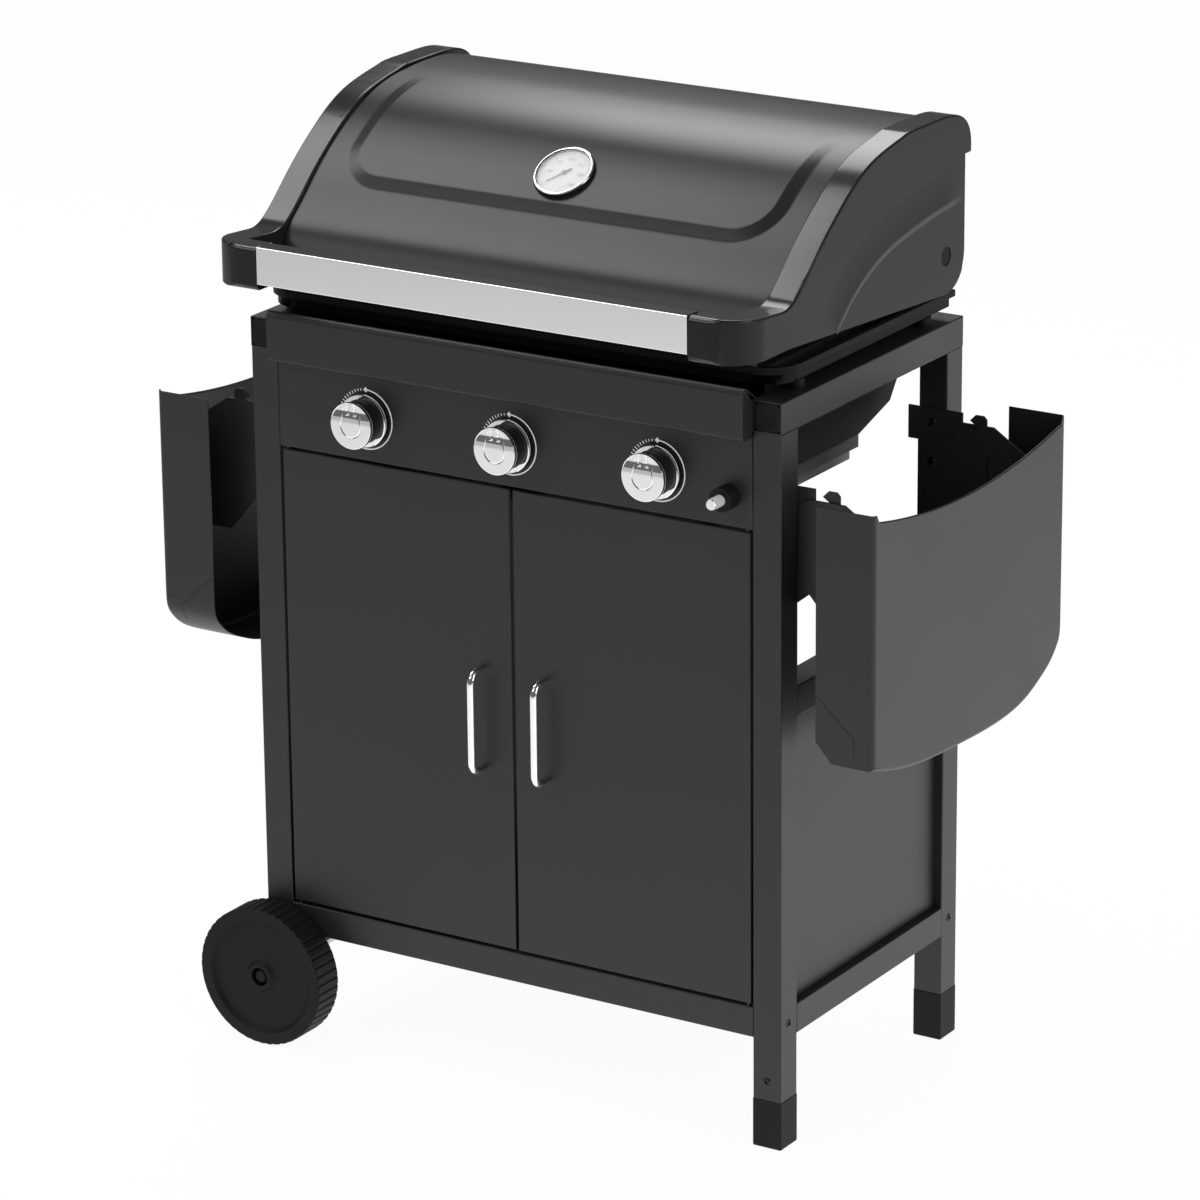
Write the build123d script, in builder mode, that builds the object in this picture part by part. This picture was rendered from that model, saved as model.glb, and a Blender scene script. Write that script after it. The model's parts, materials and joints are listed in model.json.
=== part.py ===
from build123d import *
import os

os.makedirs("parts", exist_ok=True)

# A gas barbecue on a two-wheeled cabinet cart, in millimetres. The front faces -Y and Z is up.
# The origin lies on the floor at the middle of the overall box.

# Cart frame of square tube
tube = 35.0
tube_wall = 1.5
tube_corner = 1.5
cart_width = 678.5
cart_depth = 395.0
rail_top = 850.0
mid_rail_drop = 322.0
bottom_rail_top = 162.5
foot_height = 57.0
foot_plug = 28.0
foot_proud = 0.4

# Sheet metal of the cart
sheet = 1.2
panel_inset = 10.0
panel_return = 14.0
pan_depth = 14.0
joint_gap = 0.3
cut_past = 1.0

# Wheels and axle on the left legs
wheel_radius = 82.0
wheel_width = 40.0
wheel_gap = 5.0
wheel_rim = 14.0
wheel_web = 7.0
wheel_dish = 4.0
hub_radius = 15.0
hub_recess = 10.0
hub_recess_radius = 11.0
lug_count = 48
lug_groove_radius = 2.4
lug_groove_depth = 1.4
axle_radius = 6.0
axle_below = 24.0
axle_cap_radius = 8.5
axle_cap_wall = 2.5
axle_cap_height = 8.0
running_fit = 0.05

# Control panel, fascia and gas controls
panel_drop = 42.0
panel_height = 102.0
panel_sheet = 1.5
panel_lip = 20.0
fascia_reach = 20.0
fascia_rise = 16.0
fascia_bend = 5.0
fascia_tail = 14.0
fascia_tail_drop = 20.0
knob_pitch = 187.0
knob_rise = 47.6
knob_reach = 31.0
knob_face_radius = 26.5
knob_barrel_radius = 24.5
knob_face_lip = 5.0
knob_ring_radius = 30.0
knob_ring_width = 4.0
knob_wall = 4.0
knob_hub_radius = 9.0
knob_clear = 5.0
knob_mark_width = 12.0
knob_mark_length = 17.0
knob_mark_depth = 1.0
knob_edge = 1.0
knob_push = 3.0
stem_radius = 4.0
stem_hole_radius = 6.0
stem_in_knob = 16.0
stem_tip_radius = 3.0
stem_tip_length = 7.6
plunger_radius = 6.0
plunger_length = 12.0
valve_neck = 12.5
valve_neck_radius = 10.0
valve_half = 13.0
valve_depth = 32.0
valve_top = 14.0
jet_radius = 4.0
jet_length = 12.0
manifold_radius = 7.0
manifold_drop = 24.0
manifold_past = 23.0
manifold_inlet = 35.0
inlet_radius = 9.0
inlet_length = 24.0
inlet_drop = 45.0
inlet_drop_radius = 6.0
elbow_half = 8.0
spigot_radius = 5.0
spigot_length = 22.0
igniter_inset = 29.0
igniter_rise = 33.5
igniter_flange = 13.4
igniter_body = 8.0
igniter_button = 6.4
igniter_reach = 38.0
igniter_depth = 30.0
igniter_push = 4.0
igniter_floor = 4.0
igniter_flange_height = 19.0

# Doors
door_gap = 3.5
door_leg_gap = 3.0
door_depth = 16.0
hinge_setback = 5.0
hinge_pin_radius = 3.0
hinge_pin_length = 22.0
hinge_block = 10.0
door_handle_x = 41.0
door_handle_drop = 211.5
door_handle_length = 117.0
door_handle_reach = 27.0
door_handle_radius = 4.5
door_handle_bend = 14.0
catch_half = 22.0
catch_height = 20.0
catch_depth = 16.0
catch_gap = 0.4

# Firebox, burners and cooking surfaces
box_wall = 2.5
burner_lift = 6.6
box_front_low = 62.0
box_front_high = 32.0
box_rear_low = 113.0
box_rear_mid = 52.0
box_rear_high = 23.0
box_rear_rise = 24.0
box_side_gap = 5.25
box_side_slope = 27.0
rim_side_gap = 5.25
rim_front = 10.0
rim_rear = 9.0
rim_height = 19.5
rim_lip = 8.0
rim_undercut = 5.0
rim_corner = 40.0
spacer_height = 12.0
drain_radius = 15.0
spacer_radius = 9.0
spacer_inset = 60.0
burner_radius = 14.0
burner_wall = 1.5
burner_mouth = 8.0
burner_end_gap = 14.0
burner_leg = 3.0
burner_hole_gap = 0.4
tent_half = 58.0
tent_rise = 24.0
tent_gap = 25.4
tent_sheet = 1.5
ledge_width = 14.0
ledge_rear = 64.0
ledge_root = 6.0
grate_lap = 3.0
grate_front = 24.0
grate_rear = 19.0
grate_height = 12.0
grate_frame = 10.0
grate_bar = 7.0
grate_pitch = 15.5
grate_split = 3.0
griddle_floor = 5.0
griddle_wall = 5.0
rack_wire = 2.5
rack_bar = 2.0
rack_side = 9.0
rack_depth = 88.0
rack_rear = 67.0
rack_rise = 90.5
rack_bars = 17
rack_bend = 10.0
runner_sheet = 2.0
runner_ledge = 12.0
runner_drop = 14.0
tray_depth = 20.0
tray_front = 66.0
tray_past = 2.0
tray_side_gap = 1.0

# Lid
lid_side_past = 0.75
lid_band = 34.0
lid_wall = 6.0
lid_gap = 2.5
lid_rise = 200.0
lid_back_past = 1.0
lid_corner = 43.0
lid_lip = 13.0
lid_lip_drop = 38.0
lid_lip_height = 14.0
lid_front_foot = 12.0
lid_skin = 4.5
lid_sheet_drop = 3.0
lid_sheet_wall = 1.5
lid_sheet_back_rise = 31.0
lid_sheet_front = 6.0
lid_flange_rise = 11.0
lid_crest_setback = 74.0
crown_setback = 2.0
crown_step = 6.0
lid_pin_radius = 5.0
lid_pin_head = 10.0
lid_pin_head_height = 2.5
lid_pin_recess = 3.0
lid_pin_space = 1.0
lid_pin_reach = 30.0
ear_plate = 6.0
ear_half = 12.0
ear_inset = 18.0
ear_foot = 14.0
nose_rise = 22.0
nose_height = 49.0
nose_width = 68.0
nose_arm = 34.0
nose_corner = 45.0
nose_roof = 9.0
handle_reach = 79.0
handle_rise = 7.0
handle_depth = 22.0
handle_bevel = 4.0
handle_wall = 3.0

# Rise of the lid's crown from its front to its crest, as shares of the run and of the height
crown_shape = (
    (0.0, 0.0), (0.11, 0.10), (0.24, 0.37), (0.40, 0.655), (0.60, 0.893), (0.80, 0.985), (1.0, 1.0),
)

# Thermometer in the lid
gauge_along = 0.323
gauge_radius = 35.0
gauge_height = 9.0
gauge_base = 3.0
gauge_bezel = 4.0
gauge_dial_sheet = 0.8
gauge_glass_sheet = 1.2
gauge_glass_sink = 1.0
gauge_probe_radius = 5.0
gauge_probe_length = 45.0
gauge_lift = 0.3
needle_rest = 135.0
needle_length = 22.0
needle_tail = 9.0
needle_width = 3.0
needle_sheet = 0.8
needle_hub = 3.0
needle_pin = 1.0

# Folding side tables and their brackets
table_overhang = 15.5
table_reach = 120.75
table_skirt = 70.0
table_drop = 11.0
table_height = 304.0
table_ear = 10.0
table_ear_width = 11.0
table_top_sag = 22.0
table_bulge = 34.0
skirt_cut_depth = 25.0
skirt_cut_rise = 54.0
skirt_cut_fall = 28.0
skirt_cut_length = 60.0
bracket_sheet = 2.0
bracket_drop = 99.0
bracket_inset = 12.25
bracket_reach = 50.75
bracket_tab_height = 38.0
bracket_height = 129.0
bracket_slope = 40.0
pivot_reach = 17.75
pivot_drop = 25.0
pivot_radius = 4.0
pivot_head_radius = 7.0
pivot_head = 2.5
hanger_sheet = 2.5
hanger_eye = 13.0
hanger_drop = 141.0
hanger_flange = 16.0
notch_width = 7.0
notch_reach = 30.0
bracket_corner = 4.0

# Lower edge of a table from its square corner to its round one, as shares of the length and the bulge
table_edge_shape = (
    (0.0, 0.94), (0.10, 0.58), (0.25, 0.24), (0.45, 0.06), (0.66, 0.0),
    (0.83, 0.32), (0.893, 0.65), (0.947, 1.03), (0.985, 1.50), (1.0, 2.30),
)

# Screws
screw_radius = 3.0
screw_head_radius = 5.5
screw_head_height = 2.2
screw_length = 7.0
screw_crown = 3.3
screw_fit = 0.1
foot_screw_rise = 22.0
bracket_bolt_drops = (61.0, 16.0)

# Places on the cart that follow from the sizes above
outer_x = cart_width / 2
inner_x = outer_x - tube
leg_x = outer_x - tube / 2
leg_top = rail_top - tube
rear_reach = wheel_gap + wheel_width
front = (handle_reach - cart_depth - rear_reach) / 2
back = front + cart_depth
middle_y = (front + back) / 2
front_leg_y = front + tube / 2
rear_leg_y = back - tube / 2
mid_rail_top = rail_top - mid_rail_drop
mid_rail_low = mid_rail_top - tube
axle_z = wheel_radius
axle_x = -leg_x
foot_screw_height = foot_height + foot_screw_rise

# Places on the control panel and the doors
panel_high = rail_top - panel_drop
panel_low = panel_high - panel_height
fascia_top = rail_top + fascia_rise
knob_height = panel_low + knob_rise
knob_places = {"left": -knob_pitch, "centre": 0.0, "right": knob_pitch}
manifold_left = knob_pitch + manifold_past
manifold_right = knob_pitch + manifold_inlet
igniter_x = inner_x - igniter_inset
igniter_height = panel_low + igniter_rise
door_low = bottom_rail_top + door_gap
door_high = panel_low - door_gap
door_outer = inner_x - door_leg_gap
door_pin_x = door_outer - hinge_setback
door_pin_y = front + hinge_setback
door_handle_high = door_high - door_handle_drop
door_handle_low = door_handle_high - door_handle_length

# Places in the firebox
box_floor = knob_height - burner_radius - burner_lift
box_back_low = cart_depth - box_rear_low
box_back_mid = cart_depth - box_rear_mid
box_back_high = cart_depth - box_rear_high
box_back_mid_height = box_floor + box_rear_rise
box_half_top = inner_x - box_side_gap
box_half_floor = box_half_top - box_side_slope
rim_half = outer_x - rim_side_gap
rim_back = cart_depth - rim_rear
rim_low = rail_top + spacer_height
rim_top = rim_low + rim_height
flange_top = rim_low + box_wall
burner_back = box_back_low - burner_end_gap
tent_low = knob_height + burner_radius + tent_gap
ledge_back = cart_depth - ledge_rear
grate_half = box_half_top + grate_lap
grate_back = cart_depth - grate_rear
rack_half = box_half_top + rack_side
rack_back = cart_depth - rack_rear
rack_front = rack_back - rack_depth
rack_height = flange_top + rack_rise
tray_back = box_back_low + tray_past

# Places on the lid
lid_half = outer_x + lid_side_past
lid_back = cart_depth + lid_back_past
lid_low = rim_top + lid_gap
lid_top = lid_low + lid_rise
lid_hinge_z = lid_low + lid_corner
hinge_y = front + lid_back - lid_corner
lid_lip_high = lid_top - lid_lip_drop
lid_lip_low = lid_lip_high - lid_lip_height
lid_sheet_back = lid_low + lid_sheet_back_rise
lid_flange_back = lid_hinge_z + lid_flange_rise
lid_crest = lid_back - lid_crest_setback
band_inner = lid_half - lid_band
side_wall_x = lid_half - lid_wall
nose_low = lid_low + nose_rise
nose_high = nose_low + nose_height
crown_foot = nose_high - crown_step
handle_half = lid_half - nose_width
handle_low = nose_low + handle_rise

# Places on the side tables and their brackets
table_face = outer_x + table_reach
bracket_top = rail_top - bracket_drop
bracket_tab_low = bracket_top - bracket_tab_height
bracket_low = bracket_top - bracket_height
bracket_inner = inner_x - bracket_inset
bracket_outer = outer_x + bracket_reach
bracket_bolt_heights = [bracket_top - drop for drop in bracket_bolt_drops]
pivot_x = outer_x + pivot_reach
pivot_z = bracket_top - pivot_drop
hanger_low = pivot_z - hanger_drop
table_top = bracket_top - table_drop
table_low = table_top - table_height

# Shared helpers of the drawing
diagonal = 2 ** -0.5
MIN_Z = (Align.CENTER, Align.CENTER, Align.MIN)
MAX_Z = (Align.CENTER, Align.CENTER, Align.MAX)


def at_y(y):
    """A plane facing the front at depth y, with sketch axes X and Z."""
    return Plane.XZ.offset(-y)


def at_x(x):
    """A plane facing the right at width x, with sketch axes Y and Z."""
    return Plane.YZ.offset(x)


def at_z(z):
    """A level plane at height z."""
    return Plane.XY.offset(z)


def outline(*points):
    """A filled polygon through the points, in the sketch in hand."""
    with BuildLine() as edge:
        Polyline(*points, close=True)
    make_face(edge.edges())


def folded(points, thickness, side=Side.LEFT):
    """The section of a folded sheet along the points, in the sketch in hand."""
    with BuildLine() as edge:
        line = Polyline(*points)
        offset(line, amount=thickness, kind=Kind.INTERSECTION, side=side)
    make_face(edge.edges())


def frame_ring(x0, y0, x1, y1, width):
    """A rectangular ring of the given width, in the sketch in hand."""
    with Locations(((x0 + x1) / 2, (y0 + y1) / 2)):
        Rectangle(x1 - x0, y1 - y0)
        Rectangle(x1 - x0 - 2 * width, y1 - y0 - 2 * width, mode=Mode.SUBTRACT)


def block(x0, y0, z0, x1, y1, z1, mode=Mode.ADD):
    """A box between two corners, in the part in hand."""
    with Locations(((x0 + x1) / 2, (y0 + y1) / 2, (z0 + z1) / 2)):
        Box(abs(x1 - x0), abs(y1 - y0), abs(z1 - z0), mode=mode)


def rod(start, direction, radius, length, mode=Mode.ADD):
    """A round rod from a start point along a direction, in the part in hand."""
    with Locations(Plane(origin=start, z_dir=direction)):
        Cylinder(radius, length, align=MIN_Z, mode=mode)


def square_tube():
    """The hollow section of the cart's tube, in the sketch in hand."""
    RectangleRounded(tube, tube, tube_corner)
    Rectangle(tube - 2 * tube_wall, tube - 2 * tube_wall, mode=Mode.SUBTRACT)


def keep(piece, name):
    """Name a finished piece and write it."""
    piece.part.label = name
    export_step(piece.part, f"parts/{name}.step")


# Screws: in the outer faces of the legs at the bottom rails, through the table brackets, and in the feet
def side_screw_places(side):
    height = bottom_rail_top - tube / 2
    return [(side * outer_x, y, height) for y in (front_leg_y, rear_leg_y)]


def bracket_bolt_places(side):
    front_face = front + tube + bracket_sheet
    rear_face = back - tube - bracket_sheet
    front_bolts = [((side * leg_x, front_face, z), (0, 1, 0)) for z in bracket_bolt_heights]
    rear_bolts = [((side * leg_x, rear_face, z), (0, -1, 0)) for z in bracket_bolt_heights]
    return front_bolts + rear_bolts


foot_screw_places = [
    ((leg_x, front, foot_screw_height), (0, -1, 0)),
    ((leg_x, back, foot_screw_height), (0, 1, 0)),
]


def screw_hole(place, facing):
    """A hole for a screw whose head looks along facing, in the part in hand."""
    inward = (-facing[0], -facing[1], 0)
    rod(place, inward, screw_radius + screw_fit, screw_length + cut_past, Mode.SUBTRACT)


def screw_holes(side):
    """Drill the legs of one side for their screws, in the part in hand."""
    for place in side_screw_places(side):
        screw_hole(place, (side, 0, 0))
    for place, facing in bracket_bolt_places(side):
        screw_hole(place, facing)


def screw(place, facing):
    """A domed screw whose head sits on the place and looks along facing, in the part in hand."""
    with Locations(Plane(origin=place, z_dir=facing)):
        Cone(screw_head_radius, screw_crown, screw_head_height, align=MIN_Z)
        Cylinder(screw_radius, screw_length, align=MAX_Z)


with BuildPart() as frame_screws:
    for side in (-1, 1):
        for place in side_screw_places(side):
            screw(place, (side, 0, 0))
        for place, facing in bracket_bolt_places(side):
            screw(place, facing)
    for place, facing in foot_screw_places:
        screw(place, facing)
keep(frame_screws, "frame_screws")

# Legs: the right pair stands on feet, the left pair ends just below the wheel axle
with BuildPart() as right_legs:
    with BuildSketch(at_z(foot_height)):
        with Locations((leg_x, front_leg_y), (leg_x, rear_leg_y)):
            square_tube()
    extrude(amount=leg_top - foot_height)
    screw_holes(1)
    for place, facing in foot_screw_places:
        screw_hole(place, facing)
keep(right_legs, "right_legs")

with BuildPart() as left_legs:
    with BuildSketch(at_z(axle_z - axle_below)):
        with Locations((-leg_x, front_leg_y), (-leg_x, rear_leg_y)):
            square_tube()
    extrude(amount=leg_top - axle_z + axle_below)
    screw_holes(-1)
    axle_bore = axle_radius + running_fit
    rod((axle_x, front, axle_z), (0, 1, 0), axle_bore, cart_depth, Mode.SUBTRACT)
keep(left_legs, "left_legs")

# Feet: plastic blocks plugged into the right legs
with BuildPart() as feet:
    foot_side = tube + 2 * foot_proud
    plug_side = tube - 2 * tube_wall - 2 * joint_gap
    with BuildSketch():
        with Locations((leg_x, front_leg_y), (leg_x, rear_leg_y)):
            RectangleRounded(foot_side, foot_side, tube_corner)
    extrude(amount=foot_height)
    chamfer(feet.edges().group_by(Axis.Z)[0], length=tube_corner)
    with BuildSketch(at_z(foot_height)):
        with Locations((leg_x, front_leg_y), (leg_x, rear_leg_y)):
            Rectangle(plug_side, plug_side)
    extrude(amount=foot_plug)
    for place, facing in foot_screw_places:
        screw_hole(place, facing)
keep(feet, "feet")

# Rails: tubes along the sides at three heights, and across the bottom at the front and the back
def side_rails(top, start, end):
    """A pair of tubes along Y between two depths, with their upper faces at a height."""
    with BuildPart() as rails:
        with BuildSketch(at_y(start)):
            with Locations((-leg_x, top - tube / 2), (leg_x, top - tube / 2)):
                square_tube()
        extrude(amount=start - end)
    return rails


keep(side_rails(rail_top, front, back), "top_rails")
keep(side_rails(mid_rail_top, front + tube, back - tube), "mid_rails")
keep(side_rails(bottom_rail_top, front + tube, back - tube), "bottom_side_rails")

with BuildPart() as bottom_cross_rails:
    with BuildSketch(at_x(-inner_x)):
        with Locations(*[(y, bottom_rail_top - tube / 2) for y in (front_leg_y, rear_leg_y)]):
            square_tube()
    extrude(amount=2 * inner_x)
    for side in (-1, 1):
        pin_seat = (side * door_pin_x, door_pin_y, bottom_rail_top)
        rod(pin_seat, (0, 0, -1), hinge_pin_radius + running_fit, tube / 2, Mode.SUBTRACT)
keep(bottom_cross_rails, "bottom_cross_rails")

# Side panels: sheets set back between the legs, folded inwards all round
with BuildPart() as side_panels:
    for side in (-1, 1):
        face_x = outer_x - panel_inset
        y0 = front + tube
        y1 = back - tube
        x0 = side * (face_x - panel_return)
        x1 = side * face_x
        block(x0, y0, bottom_rail_top, x1, y1, mid_rail_low)
        inside = side * (face_x - sheet)
        beyond = side * (face_x - panel_return - cut_past)
        block(
            beyond, y0 + sheet, bottom_rail_top + sheet, inside, y1 - sheet, mid_rail_low - sheet,
            Mode.SUBTRACT,
        )
keep(side_panels, "side_panels")

# Floor pan: a shallow tray between the bottom rails, for the gas bottle to stand on
with BuildPart() as floor_pan:
    pan_x = inner_x - joint_gap
    pan_y0 = front + tube + joint_gap
    pan_y1 = back - tube - joint_gap
    pan_low = bottom_rail_top - pan_depth
    block(-pan_x, pan_y0, pan_low, pan_x, pan_y1, bottom_rail_top)
    block(
        sheet - pan_x, pan_y0 + sheet, pan_low + sheet, pan_x - sheet, pan_y1 - sheet,
        bottom_rail_top + cut_past, Mode.SUBTRACT,
    )
keep(floor_pan, "floor_pan")

# Control panel: a folded sheet between the legs, drilled for the stems, the igniter and the door pins
panel_x = inner_x - joint_gap
with BuildPart() as control_panel:
    block(-panel_x, front, panel_low, panel_x, front + panel_lip, panel_high)
    block(
        panel_sheet - panel_x, front + panel_sheet, panel_low + panel_sheet,
        panel_x - panel_sheet, front + panel_lip + cut_past, panel_high - panel_sheet, Mode.SUBTRACT,
    )
    for x in knob_places.values():
        rod((x, front, knob_height), (0, 1, 0), stem_hole_radius, panel_sheet, Mode.SUBTRACT)
    igniter_mouth = (igniter_x, front, igniter_height)
    rod(igniter_mouth, (0, 1, 0), igniter_body + running_fit, panel_sheet, Mode.SUBTRACT)
    for side in (-1, 1):
        pin_seat = (side * door_pin_x, door_pin_y, panel_low)
        rod(pin_seat, (0, 0, 1), hinge_pin_radius + running_fit, panel_sheet, Mode.SUBTRACT)
keep(control_panel, "control_panel")

# Fascia: a folded sheet in front of the firebox, rolled over at the top and closed at both ends
with BuildPart() as fascia:
    skin = [
        (front, panel_high),
        (front - fascia_reach, panel_high),
        (front - fascia_reach, fascia_top - fascia_bend),
        (front - fascia_reach + fascia_bend, fascia_top),
        (front + fascia_tail, fascia_top - fascia_tail_drop),
    ]
    with BuildSketch(at_x(-panel_x)):
        folded(skin, panel_sheet, Side.RIGHT)
    extrude(amount=2 * panel_x)
    end_sheet = skin[:4] + [(front, fascia_top - fascia_tail_drop)]
    for start, depth in ((-panel_x, panel_sheet), (panel_x, -panel_sheet)):
        with BuildSketch(at_x(start)):
            outline(*end_sheet)
        extrude(amount=depth)
keep(fascia, "fascia")

# Axle and the push-on caps that hold the wheels
front_wheel_face = front - rear_reach
rear_wheel_face = back + rear_reach
axle_sink = hub_recess - axle_cap_wall
with BuildPart() as axle:
    axle_start = front_wheel_face + axle_sink - axle_cap_wall
    rod((axle_x, axle_start, axle_z), (0, 1, 0), axle_radius, cart_depth + 2 * (front - axle_start))
keep(axle, "axle")

with BuildPart() as axle_caps:
    for face, inward in ((front_wheel_face, 1), (rear_wheel_face, -1)):
        cap_mouth = (axle_x, face + inward * (hub_recess - joint_gap), axle_z)
        rod(cap_mouth, (0, -inward, 0), axle_cap_radius, axle_cap_height)
        rod(cap_mouth, (0, -inward, 0), axle_radius + running_fit, axle_cap_wall * 2, Mode.SUBTRACT)
    chamfer(axle_caps.edges().group_by(Axis.Y)[0], length=axle_cap_wall)
    chamfer(axle_caps.edges().group_by(Axis.Y)[-1], length=axle_cap_wall)
keep(axle_caps, "axle_caps")


# Wheels: moulded discs with a lugged tread, a dished face and a sunk hub
def wheel(face, inward):
    """A wheel whose outer face lies at depth face and whose body runs along inward."""
    seat = Plane(origin=(axle_x, face, axle_z), x_dir=(1, 0, 0), z_dir=(0, inward, 0))
    web_low = wheel_dish
    web_high = wheel_dish + wheel_web
    rim_inner = wheel_radius - wheel_rim
    section = [
        (axle_radius + running_fit, hub_recess),
        (hub_recess_radius, hub_recess),
        (hub_recess_radius, 0.0),
        (hub_radius, 0.0),
        (hub_radius + wheel_dish, web_low),
        (rim_inner - wheel_dish, web_low),
        (rim_inner, 0.0),
        (wheel_radius - tube_corner, 0.0),
        (wheel_radius, tube_corner),
        (wheel_radius, wheel_width - tube_corner),
        (wheel_radius - tube_corner, wheel_width),
        (rim_inner, wheel_width),
        (rim_inner, web_high),
        (hub_radius, web_high),
        (hub_radius, wheel_width),
        (axle_radius + running_fit, wheel_width),
    ]
    with BuildPart() as disc:
        with BuildSketch(Plane(origin=seat.origin, x_dir=(1, 0, 0), z_dir=(0, 0, inward))):
            outline(*section)
        revolve(axis=Axis((axle_x, face, axle_z), (0, 1, 0)))
        groove_ring = wheel_radius + lug_groove_radius - lug_groove_depth
        with BuildSketch(seat):
            with PolarLocations(groove_ring, lug_count, start_angle=90 + 180 / lug_count):
                Circle(lug_groove_radius)
        extrude(amount=wheel_width, mode=Mode.SUBTRACT)
    return disc


keep(wheel(front_wheel_face, 1), "wheel_front")
keep(wheel(rear_wheel_face, -1), "wheel_rear")


# Doors: folded pans with a hinge block in each outer corner
def door(side):
    """One door: side is -1 for the left and 1 for the right."""
    inner = door_gap / 2
    with BuildPart() as pan:
        block(side * inner, front, door_low, side * door_outer, front + door_depth, door_high)
        block(
            side * (inner + sheet), front + sheet, door_low + sheet,
            side * (door_outer - sheet), front + door_depth + cut_past, door_high - sheet, Mode.SUBTRACT,
        )
        block_inner = side * (door_pin_x - hinge_setback)
        block_outer = side * (door_outer - sheet)
        block_back = front + sheet + 2 * hinge_setback
        low_block = (door_low + sheet, door_low + hinge_block)
        high_block = (door_high - hinge_block, door_high - sheet)
        for z0, z1 in (low_block, high_block):
            block(block_inner, front + sheet, z0, block_outer, block_back, z1)
        for z0, direction in ((door_low, 1), (door_high, -1)):
            mouth = (side * door_pin_x, door_pin_y, z0)
            rod(mouth, (0, 0, direction), hinge_pin_radius + running_fit, hinge_block, Mode.SUBTRACT)
    return pan


keep(door(-1), "door_left")
keep(door(1), "door_right")


def door_handle(side):
    """A bow handle bent from round bar, standing on the door's face."""
    x = side * door_handle_x
    with BuildPart() as bow:
        with BuildLine(at_x(x)) as path:
            FilletPolyline(
                (front, door_handle_low),
                (front - door_handle_reach + door_handle_radius, door_handle_low),
                (front - door_handle_reach + door_handle_radius, door_handle_high),
                (front, door_handle_high),
                radius=door_handle_bend,
            )
        with BuildSketch(Plane(origin=path.line @ 0, z_dir=path.line % 0)):
            Circle(door_handle_radius)
        sweep()
    return bow


keep(door_handle(-1), "door_handle_left")
keep(door_handle(1), "door_handle_right")

# Door hinge pins: one up from the bottom rail and one down from the control panel, for each door
with BuildPart() as door_hinge_pins:
    for side in (-1, 1):
        pin_reach = door_gap + hinge_block - cut_past
        low_tail = hinge_pin_length - pin_reach
        low_start = (side * door_pin_x, door_pin_y, bottom_rail_top - low_tail)
        rod(low_start, (0, 0, 1), hinge_pin_radius, hinge_pin_length)
        high_start = (side * door_pin_x, door_pin_y, panel_low + low_tail)
        rod(high_start, (0, 0, -1), hinge_pin_radius, hinge_pin_length)
keep(door_hinge_pins, "door_hinge_pins")

# Magnetic door catch: a block hung from the control panel's lower fold, behind both doors
with BuildPart() as door_catch:
    catch_front = front + door_depth + catch_gap
    block(
        -catch_half, catch_front, panel_low - catch_height, catch_half, catch_front + catch_depth, panel_low
    )
    chamfer(door_catch.edges().group_by(Axis.Z)[0], length=tube_corner)
keep(door_catch, "door_catch")


# Firebox: a tapered pan with a lipped rim, a drain hole and ledges for the heat tents
def box_shape(inset):
    """The firebox pan's solid, drawn in from its outside by inset and run up through the rim."""
    y0 = front + box_front_low + inset
    y1 = front + box_front_high + inset
    y2 = front + box_back_high - inset
    y3 = front + box_back_mid - inset
    y4 = front + box_back_low - inset / 2
    low = box_floor + inset
    shoulder = box_back_mid_height + inset / 2
    knee = knob_height + 3 * burner_radius
    top = flange_top
    with BuildPart() as pan:
        with BuildSketch(at_x(-box_half_top)):
            outline(
                (y0, low), (y4, low), (y3, shoulder), (y2, rim_low),
                (y2, top), (y1, top), (y1, rim_low), (y0, knee),
            )
        extrude(amount=2 * box_half_top)
        half_low = box_half_floor - inset
        half_top = box_half_top - inset
        with BuildSketch(at_y(front)):
            outline(
                (-half_low, low), (half_low, low), (half_top, rim_low),
                (half_top, top), (-half_top, top), (-half_top, rim_low),
            )
        extrude(amount=-cart_depth, mode=Mode.INTERSECT)
    return pan.part


def rim_plan(inset):
    """The firebox's rim seen from above, drawn in by inset, with its front corners rounded."""
    with BuildSketch(mode=Mode.PRIVATE) as plan:
        with Locations((0, front + (rim_front + rim_back) / 2)):
            Rectangle(2 * (rim_half - inset), rim_back - rim_front - 2 * inset)
        fillet(plan.vertices().group_by(Axis.Y)[0], rim_corner - inset)
    return plan.sketch


with BuildPart() as firebox:
    add(box_shape(0))
    with BuildSketch(at_z(rim_low)):
        add(rim_plan(rim_undercut))
    extrude(amount=box_wall)
    with BuildSketch(at_z(rim_low)):
        add(rim_plan(rim_undercut))
        add(rim_plan(rim_undercut + box_wall), mode=Mode.SUBTRACT)
    extrude(amount=rim_height)
    with BuildSketch(at_z(rim_top - rim_lip)):
        add(rim_plan(0))
        add(rim_plan(rim_undercut + box_wall), mode=Mode.SUBTRACT)
    extrude(amount=rim_lip)
    add(box_shape(box_wall), mode=Mode.SUBTRACT)
    tent_y0 = front + box_front_low + box_wall
    tent_y1 = front + ledge_back + ledge_width
    ledge_low = tent_low - box_wall
    ledge_half = box_half_floor
    block(-ledge_half, tent_y0 - box_wall / 2, ledge_low, ledge_half, tent_y0 + ledge_width, tent_low)
    block(-ledge_half, front + ledge_back, ledge_low, ledge_half, tent_y1 + ledge_root, tent_low)
    for x in knob_places.values():
        wall_hole = (x, front + box_front_low, knob_height)
        hole_radius = burner_radius + burner_hole_gap
        rod(wall_hole, (0, 1, 0), hole_radius, box_wall, Mode.SUBTRACT)
    rod((0, middle_y, box_floor), (0, 0, 1), drain_radius, box_wall, Mode.SUBTRACT)
keep(firebox, "firebox")

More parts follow.
